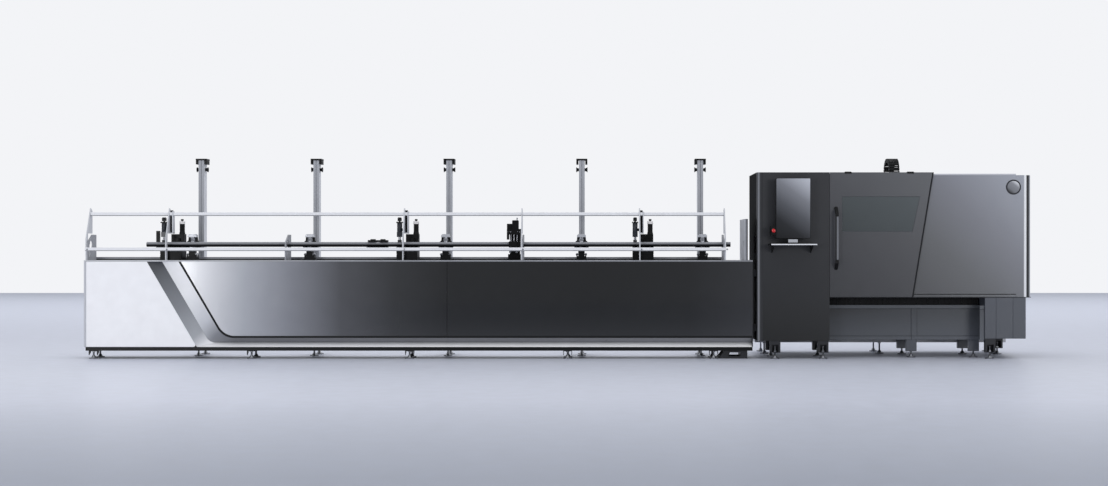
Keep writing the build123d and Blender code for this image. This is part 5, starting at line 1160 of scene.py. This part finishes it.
for name, outline, near, far, holes, slot, bevel, skin, replaced in (
    ("door_leaf", door_outline, 0, 14, [0], "charcoal", 2.0, DOOR_SKIN, "sliding_door"),
    ("door_edge_seal", shadow_strip_outline, 2, 14, [], "black_plastic", 1.0, SHADOW_STRIP_SKIN, None),
    ("door_pane", window_outline(-5), 1, 7, [], "window_glass", 0.8, WINDOW_SKIN, "door_window"),
    ("door_gasket", window_outline(-0.2), 1.5, 9, [-4.8], "black_plastic", 0.4, GASKET_SKIN, None),
):
    holes = [window_outline(grow) for grow in holes]
    leaf = Shape().plate("y", outline, deeps(near, far), holes)
    leaf.piece(name, slot, bevel, skin, replaced, "door")

hangers = Shape()
for x in HANGER_X:
    hangers.slab(around(x, 73), deeps(1, 46), (SHELL_TOP - 13.5, SHELL_TOP + 4))
    hangers.slab(around(x, 60), deeps(4, 42), (SHELL_TOP + 4, SHELL_TOP + 8))
for x in (door_left + 74, door_foot - 74):
    hangers.slab(around(x, 74), deeps(14.2, 17.7), (659, 675))
hangers.piece("door_hangers", "black_paint", 1.2, replaces="door_runners", body="door")

grip_x, (grip, _), (low, high) = spans("door_handle")
grip_x = inset(grip_x, 5)
ends = Shape()
for way, z in ((1, low), (-1, high)):
    neck, tip = z + way * 70, z + way * 106
    hook = [(CABIN_FRONT, z), (grip, neck), (grip, tip), (grip + 20, tip)]
    hook += [(grip + 20, z + way * 80), (CABIN_FRONT, z + way * 20)]
    ends.plate("x", hook, grip_x)
ends.piece("handle_ends", "black_plastic", 5, replaces="door_handle", body="door")
# anodised tube with painted shade on its black left half and painted light on its grey right half,
# so that it reads as round
GRIP_X, GRIP_WIDTH = grip_x[0] / 1000, (grip_x[1] - grip_x[0]) / 1000
GRIP_FADE = [
    (GRIP_X, "#0A0B0C"), (GRIP_X + 0.3 * GRIP_WIDTH, "#101113"),
    (GRIP_X + 0.45 * GRIP_WIDTH, "#6C6E73"), (GRIP_X + GRIP_WIDTH, "#75777C"),
]
HANDLE_GREY = finish("grey_anodised_grip", "#6E7075", 0.35, (ALONG, GRIP_FADE), gloss=0.3)
grip_y, grip_z = inset((grip, grip + 20), 0.5), inset((low, high), 106.2)
Shape().slab(inset(grip_x, 1), grip_y, grip_z).piece(
    "handle_grip", "dark_grey", 6, HANDLE_GREY, body="door"
)

rail_x = (door_left, rail_right)
top_rail = Shape().slab(rail_x, deeps(22, 50), (1932.2, SHELL_TOP - 14.3))
top_rail.slab(rail_x, deeps(30, 42), (1926.2, 1932.2))
top_rail.piece("door_top_rail", "steel", 1.2, skin=SLOTS["light_grey"], replaces="door_rails")
Shape().slab(rail_x, deeps(18, 40), (DOOR_FOOT, 676)).piece(
    "door_foot_rail", "charcoal", 2.5, skin=PANEL_SKIN
)
# curtain rubber: dead black, with painted shade so that the bin's mouth stays a dark gap
CURTAIN = finish("black_curtain_rubber", "#020203", 0.9)
strip = Shape().slab((-29.5, 29.5), (0, 3), (561, 644))
strip_places = [(CABIN_LEFT + 795 + i * 60, deep(246) + (i % 2) * 3.5, 0) for i in range(27)]
strip_places = [p for p in strip_places if p[0] < RIGHT_END - 520]
pattern("bin_curtain_strips", strip, strip_places, "black_plastic", 0.8, skin=CURTAIN)

# ---- Control panel ----
# A portrait screen behind dark glass on a turning bracket, the stop button in
# its box and a keyboard shelf with a small steel block.

# screen glass: a dark sheet with a painted reflection, a pale sweep across its upper right half
SCREEN_FADE = [
    (2.38, "#17181A"), (2.56, "#2A2B2E"), (2.72, "#55575C"), (2.88, "#7E8086"), (3.1, "#C4C7CF"),
]
SCREEN_GLASS = finish(
    "screen_glass", "#101113", 0.3, ((0.6, 0, 0.8), SCREEN_FADE), coat=0.1, grain=0.0, gloss=0.2
)
BLACK, PLASTIC = SLOTS["black_paint"], SLOTS["black_plastic"]
screen_x, (screen_y, _), screen_z = spans("touch_screen")
pin = (middle(screen_x), screen_y + 91)
PIVOT_Z = 1560


def rounded(across, up, radius):
    """A rectangle's points with rounded corners."""
    (left, right), (low, high) = inset(across, radius), inset(up, radius)
    spots = []
    for centre, turn in (
        ((right, low), -90), ((right, high), 0), ((left, high), 90), ((left, low), 180)
    ):
        spots += arc(centre, radius, degrees(turn, turn + 91, 15))
    return spots


front = rounded(screen_x, screen_z, 12)
housing = Shape().plate("y", front, (screen_y + 4, screen_y + 49))
back = rounded(inset(screen_x, 20), inset(screen_z, 20), 10)
housing.plate("y", back, (screen_y + 49, screen_y + 55))
for z in around(PIVOT_Z, 186):
    ear = rectangle(around(pin[0], 54), (screen_y + 55, screen_y + 109))
    housing.plate("z", ear, (z - 17.7, z + 17.7), [circle(pin, 9.1, 40)])
for low in range(1740, 1811, 14):
    housing.slab(around(pin[0], 90), (screen_y + 49, screen_y + 54.5), (low, low + 6))
housing.piece("screen_housing", "dark_grey", 1.2, PLASTIC, "touch_screen", "screen")
Shape().plate("y", front, (screen_y + 0.5, screen_y + 4)).piece(
    "screen_rim", "dark_grey", 0.8, BLACK, body="screen"
)
glass = rounded((screen_x[0] + 5, screen_x[1] - 4), (screen_z[0] + 5, screen_z[1] - 4), 9)
Shape().plate("y", glass, (screen_y, screen_y + 1)).piece(
    "screen_face", "dark_grey", 0, SCREEN_GLASS, body="screen"
)

mount = Shape()
for width, height, near, far in ((220, 220, -10, 0), (190, 190, -18, -10)):
    mount.slab(around(pin[0], width), deeps(near, far), around(PIVOT_Z, height))
mount.slab(around(pin[0], 54), (pin[1] - 18, deep(-18)), around(PIVOT_Z, 150))
mount.rod("z", pin, (1449, 1671), 9, 40)
stop_x, _, stop_z = spans("stop_button")
stop_at = (middle(stop_x), middle(stop_z))
house = rectangle(around(stop_at[0], 46), around(stop_at[1], 92))
mount.plate("y", house, (screen_y, screen_y + 60), [circle(stop_at, 9.1, 40)])
mount.plate("y", house, (screen_y + 60, CABIN_FRONT))
mount.piece("screen_bracket", "black_paint", 1.5, replaces="screen_mount")
button = [(-5, 0), (-5, 12), (-8, 19), (-15, 20), (-20, 17), (-22, 11), (-22, 0)]
stem = [(27, 0), (27, 8.8), (-5, 8.8), (-5, 0)]
stop = Shape().turned("y", stop_at, button, 40, screen_y)
stop.turned("y", stop_at, stem, 24, screen_y)
stop.piece("stop_mushroom", "red_plastic", 0.6, replaces="stop_button", body="stop")

shelf_x, (front, back), _ = spans("keyboard_shelf")
board = Shape().slab(shelf_x, (front + 5, back), (1195, 1211))
gusset = [(back, 1113), (back, 1195), (front + 40, 1195), (front + 40, 1184)]
for x in inset(shelf_x, 40):
    board.plate("x", gusset, around(x, 9))
left, block_top, face_top = screen_x[0], min(1257, screen_z[0] - 6), min(1255, screen_z[0] - 8)
board.slab((left + 106, left + 232), (front + 34, front + 126), (1211, 1219))
board.piece("shelf_board", "black_paint", 1.5, replaces="keyboard_shelf")
for name, slot, x, y, z, bevel, skin in (
    ("edge", "light_grey", (shelf_x[0] + 8, shelf_x[1] - 2), (0, 5), (1196, 1208), 1.5, RAIL_LIGHT),
    ("block", "steel", (left + 114, left + 228), (40, 120), (1219, block_top), 3, PLASTIC),
    ("block_face", "steel", (left + 122, left + 220), (39, 40), (1223, face_top), 0.4, CAP_PALE),
):
    Shape().slab(x, (front + y[0], front + y[1]), z).piece(f"shelf_{name}", slot, bevel, skin)

# ---- Cabin base, bin and legs ----
# Legs with a window for each lock nut, the open catch bin with its turned rim
# in two panels, and the base cabinet with a door seam and lock.

# slate coats: cool dark greys, the bin with painted shade darkening it towards its upper left edge,
# under the rim
BIN_FADE = [(-0.16, "#1E2024"), (-0.06, "#33363C"), (0.14, "#45494F"), (0.4, "#535760")]
BIN_SKIN = finish("slate_bin_coat", "#42464E", 0.42, ((0.12, 0, -1), BIN_FADE), **sheet_metal)
BASE_SKIN = finish("slate_cabinet_coat", "#464A52", 0.42, **sheet_metal)
RIM_SKIN = finish("pale_slate_rim_coat", "#474B51", 0.4, peel=0.05)


def leg_box(top, plain=False):
    """One leg box, with a window in front of the lock nut or a plain face."""
    window = rectangle((-34, 34), (73, 148))
    made = Shape().plate("y", rectangle((-55, 55), (66, top)), (0, 54), [window])
    made.slab((-55, 55), (54, 60), (66, top))
    return made.slab((-52, 52), (-0.8, 0), (70, top - 3)) if plain else made


for name, shape, legs, skin, replaced in (
    ("cabin_legs", leg_box(189.8), FRONT_LEGS, None, "machine_legs"),
    ("bin_legs", leg_box(189.8, plain=True), BIN_LEGS, BASE_SKIN, None),
    ("cabinet_legs", leg_box(211.8), CABINET_LEGS, None, None),
):
    places = [(x, y, 0) for x, y in legs]
    pattern(name, shape, places, "dark_grey", 2, skin, replaced)

bin_x, (front, back), _ = spans("catch_bin")
face, seam_x, bin_z = front + 8, CABIN_LEFT + 1668, (194, RIM_TOP)
inner_y = inset((face, back), WALL)
tub = Shape().slab(bin_x, (face, back), (190, 194)).slab(bin_x, (back - WALL, back), bin_z)
for x in ((bin_x[0], bin_x[0] + WALL), (bin_x[1] - WALL, bin_x[1])):
    tub.slab(x, inner_y, bin_z)
for x in ((bin_x[0], seam_x - 1.5), (seam_x + 1.5, bin_x[1])):
    tub.slab(x, (face, face + WALL), bin_z).slab(x, (front, face), (190, 227))
tub.piece("bin_tub", "slate_grey", 1.5, skin=BIN_SKIN, replaces="catch_bin")
edge = Shape().slab(bin_x, (front, face), (RIM_FOOT, RIM_TOP))
edge.slab(bin_x, (face, face + 14), (556, 559.5))
edge.piece("bin_rim", "slate_grey", 2, skin=RIM_SKIN)
seam_y, lying_x = (face - 0.8, face), inset(bin_x, 8)
seams = Shape().slab(around(seam_x + 62, 2), seam_y, (230, 519))
seams.slab(lying_x, seam_y, (229, 231.5)).slab(lying_x, seam_y, (517, 520))
seams.piece("bin_seams", "black_plastic", 0)

base_x, (front, back), base_z = spans("right_base_cabinet")
end_x = (base_x[0] - 50, base_x[0] - 0.5)
flange = Shape().slab(end_x, deeps(40, 44), (190, 519))
flange.slab((base_x[0] - 4.5, end_x[1]), (deep(44), face - 9), (190, 556))
flange.piece("bin_end_flange", "slate_grey", 1, skin=BIN_SKIN)
Shape().slab(end_x, deeps(40, 44), (RIM_FOOT, RIM_TOP)).piece(
    "bin_end_rim", "slate_grey", 1, skin=RIM_SKIN
)
door_seam = RIGHT_END - 193
shell = Shape().slab(base_x, (front + WALL, back), base_z)
for x in (
    (base_x[0] + 1, base_x[0] + 116), (base_x[0] + 118, door_seam - 1.5),
    (door_seam + 1.5, base_x[1] - 1),
):
    shell.slab(x, (front, front + WALL), inset(base_z, 1))
shell.piece("base_cabinet_shell", "slate_grey", 1.5, skin=BASE_SKIN, replaces="right_base_cabinet")
lock = [(4, 0), (4, 12), (0.5, 12), (0.2, 9), (1.5, 8), (1.5, 0)]
Shape().turned("y", (door_seam - 30, 430), lock, 24, front).piece(
    "cabinet_lock", "black_plastic", 0.3
)

# ---- Cable chain ----
# Links of a plastic cable chain follow a hoop over the roof.
BEND_R, PITCH = 127, 26
chain_x, chain_y, (hoop_foot, hoop_top) = spans("cable_chain")
chain_x, (front, back), top = middle(chain_x), inset(chain_y, 23), hoop_top - 23
rise, flat = top - BEND_R - hoop_foot, back - front - 2 * BEND_R
quarter = BEND_R * math.pi / 2
whole = 2 * rise + 2 * quarter + flat
count = round(whole / PITCH)
places, turns = [], []
for i in range(count):
    s = (i + 0.5) * whole / count
    mirrored = s > whole / 2
    s = whole - s if mirrored else s
    if s < rise:
        y, z, angle = front, hoop_foot + s, 0.0
    elif s < rise + quarter:
        angle = (s - rise) / BEND_R
        y, z = front + BEND_R * (1 - math.cos(angle)), top - BEND_R * (1 - math.sin(angle))
    else:
        y, z, angle = front + BEND_R + s - rise - quarter, top, math.pi / 2
    if mirrored:
        y, angle = front + back - y, -angle
    places.append((chain_x, y, z))
    turns.append((-angle, 0, 0))
link = Shape().slabs(
    ((-54, -46), (-22.5, 22.5), (-11, 11)), ((46, 54), (-22.5, 22.5), (-11, 11)),
    ((-46, 46), (-22, -17), (-8, 8)), ((-46, 46), (17, 22), (-8, 8)),
)
rivet = [(46, 0), (46, 10), (53.5, 10), (53.9, 8), (53.9, 0)]
for way in (-1, 1):
    link.turned("x", (0, 0), [(way * x, radius) for x, radius in rivet], 16)
pattern(
    "cable_chain_links", link, places, "black_plastic", 1.5, turns=turns,
    replaces="cable_chain",
)
shoe = Shape().slab((-60, 60), (-30, 30), (0, 4)).slab((-50, 50), (-24, 24), (4, 14))
shoe_places = [(chain_x, y, hoop_foot + 0.2) for y in (front, back)]
pattern("cable_chain_shoes", shoe, shoe_places, "steel", 1)

# ---- Rear cabinet ----
# Four doors with louvres, recessed pulls and hinges on a closed cabinet, with a
# duct collar on its roof.
ROOF_Z = 1900
front, back = rear_y
foot_z = rear_z[0]
Shape().slab(rear_x, (front, back - 8), (foot_z, ROOF_Z)).piece(
    "rear_cabinet_shell", "light_grey", 3, replaces="rear_cabinet"
)
door_width = (rear_x[1] - rear_x[0]) / 4
half = door_width / 2
leaf = rectangle(inset((-half, half), 3), inset((foot_z, ROOF_Z), 30))
pull = rounded((half - 80, half - 40), (1000, 1160), 15)
vent_feet = [foot_z + 180 + row * 36 for row in range(10)]
vent_feet += [foot_z + 1340 + row * 36 for row in range(6)]
vents = [rectangle((-165, 165), (low, low + 24)) for low in vent_feet]
rear_places = [(rear_x[0] + (i + 0.5) * door_width, 0, 0) for i in range(4)]
doors = Shape().plate("y", leaf, (back - 7.5, back), [*vents, pull])
slat, hinge = Shape(), Shape()
for low in vent_feet:
    blade = [(back - 7, low + 24), (back - 1, low + 8), (back - 1, low + 5), (back - 7, low + 20)]
    slat.plate("x", blade, (-165, 165))
for z in (foot_z + 160, 1000, ROOF_Z - 160):
    hinge.rod("z", (-half + 12, back - 6), (z - 35, z + 35), 5.5, 16)
latch = Shape().plate("y", pull, (back - 7.9, back - 6))
latch.slab((half - 68, half - 52), (back - 6, back - 1.5), (1030, 1130))
for name, shape, slot, bevel in (
    ("rear_doors", doors, "light_grey", 1.2),
    ("rear_louvre_slats", slat, "mid_grey", 0),
    ("rear_hinges", hinge, "steel", 0.6),
    ("rear_latches", latch, "black_plastic", 0.8),
):
    pattern(name, shape, rear_places, slot, bevel)
duct_at = (RIGHT_END - 585, middle(rear_y))
duct = [(0, 97), (0, 112), (4, 112), (4, 100), (48, 100), (52, 102), (56, 100), (60, 100), (60, 97)]
guard = Shape().turned("z", duct_at, [*duct, duct[0]], 64, ROOF_Z)
for y in (-34, 0, 34):
    guard.slab(around(duct_at[0], 188), around(duct_at[1] + y, 4), (1906, 1910))
guard.piece("duct_collar", "light_grey", 0.6)

# ---- Cutting unit and chuck ----
# Behind the door: a beam with ground tracks and a rack, the carriage with its
# motor, the cutting head with a copper nozzle, and the four-jaw chuck.
beam_x, (track_y, beam_back), beam_z = spans("gantry_beam")
front = track_y + 30
TRACKS = (1140, 1440)
Shape().slab(beam_x, (front, beam_back), beam_z).piece(
    "gantry_girder", "mid_grey", 6, replaces="gantry_beam"
)
tracks = Shape()
for z in TRACKS:
    tracks.slab(beam_x, (front - 30, front), around(z, 30))
tracks.slab(inset(beam_x, 40), (front - 10, front), (1280, 1310))
tracks.piece("gantry_tracks", "steel", 3)
TOOTH = 16
tooth = Shape().slab((-4, 4), (-1.5, 3), (-14, 14))
tooth_count = round((beam_x[1] - beam_x[0] - 100) / TOOTH)
teeth = [(beam_x[0] + 50 + i * TOOTH, front - 13, 1295) for i in range(tooth_count)]
pattern("gantry_rack_teeth", tooth, teeth, "steel", 0.6)

car_x, (arm_front, _), _ = spans("cutting_carriage")
centre, plate_back = middle(car_x), front - 30.3
plate_face = plate_back - 40
wagon = Shape().slab(around(centre, 260), (plate_face, plate_back), (1090, 1560))
for z in TRACKS:
    for way in (-1, 1):
        shoe_z = around(z + way * 22.8, 14.6)
        wagon.slab(around(centre, 250), (plate_back, front - 0.5), shoe_z)
wagon.slab(around(centre, 120), (arm_front + 60, plate_face), (1500, 1560))
wagon.slab(around(centre, 160), (arm_front, arm_front + 60), (1440, 1620))
screw = [(plate_face, 0), (plate_face, 9), (plate_face - 6, 8), (plate_face - 8, 0)]
for z in (1110, 1180, 1470):
    for x in around(centre, 220):
        wagon.turned("y", (x, z), screw, 12)
wagon.piece("carriage_frame", "mid_grey", 2.5, replaces="cutting_carriage", body="carriage")

_, (front, back), _ = spans("cutting_head")
hull = Shape().slabs(
    (around(centre, 120), (front, back), (1440, 1700)),
    (around(centre, 100), (front + 10, back - 5), (1700, 1720)),
    (around(centre, 84), (front + 0.2, front + 4), (1470, 1660)),
)
hull.piece("head_body", "black_anodised", 3, replaces="cutting_head", body="head")
# copper: one warm, shiny spot at the tip of the head
COPPER = finish("copper_nozzle", "#B4764A", 0.25, metal=1.0)
stack = [
    (1440, 0), (1440, 21), (1400, 21), (1398, 18.5), (1392, 18.5), (1390, 21), (1352, 21),
    (1350, 18.5), (1344, 18.5), (1342, 21), (1332, 21), (1285, 11), (1285, 0),
]
tip = [(1285, 0), (1285, 11), (1278, 11), (1262, 7), (1262, 2), (1268, 1.5), (1268, 0)]
Shape().turned("z", (centre, TUBE_Y), stack, 40).piece("head_barrel", "steel", 0.6, body="head")
Shape().turned("z", (centre, TUBE_Y), tip).piece("head_nozzle", "steel", 0.3, COPPER, body="head")

block_x, block_y, block_z = spans("chuck_housing")
block = Shape().plate("x", rounded(block_y, block_z, 20), block_x, [circle(TUBE, 95.3, 64)])
block.piece("chuck_bearing_block", "dark_grey", 3, replaces="chuck_housing")
face = spans("front_chuck")[0][0] + 220.3
drum = [
    (-220.3, 42), (-220.3, 95), (0, 95), (0, 136), (4, 140), (50, 140), (52, 136), (60, 136),
    (62, 140), (116, 140), (120, 136), (120, 42), (-220.3, 42),
]
Shape().turned("x", TUBE, drum, 64, face).piece(
    "chuck_drum", "steel", 1, replaces="front_chuck", body="chuck"
)
jaws = Shape()
for turn in range(4):
    cos, sin = math.cos(turn * math.pi / 2), math.sin(turn * math.pi / 2)
    for low, high, width, height in ((26.4, 70, 26, 46), (60, 112, 40, 34), (112, 134, 30, 14)):
        outline = rectangle((low, high), around(0, width))
        spun = [(TUBE_Y + a * cos - b * sin, TUBE_Z + a * sin + b * cos) for a, b in outline]
        jaws.plate("x", spun, (face + 120.2, face + 120 + height))
jaws.piece("chuck_jaws", "black_anodised", 1.5, body="chuck")

low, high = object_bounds()
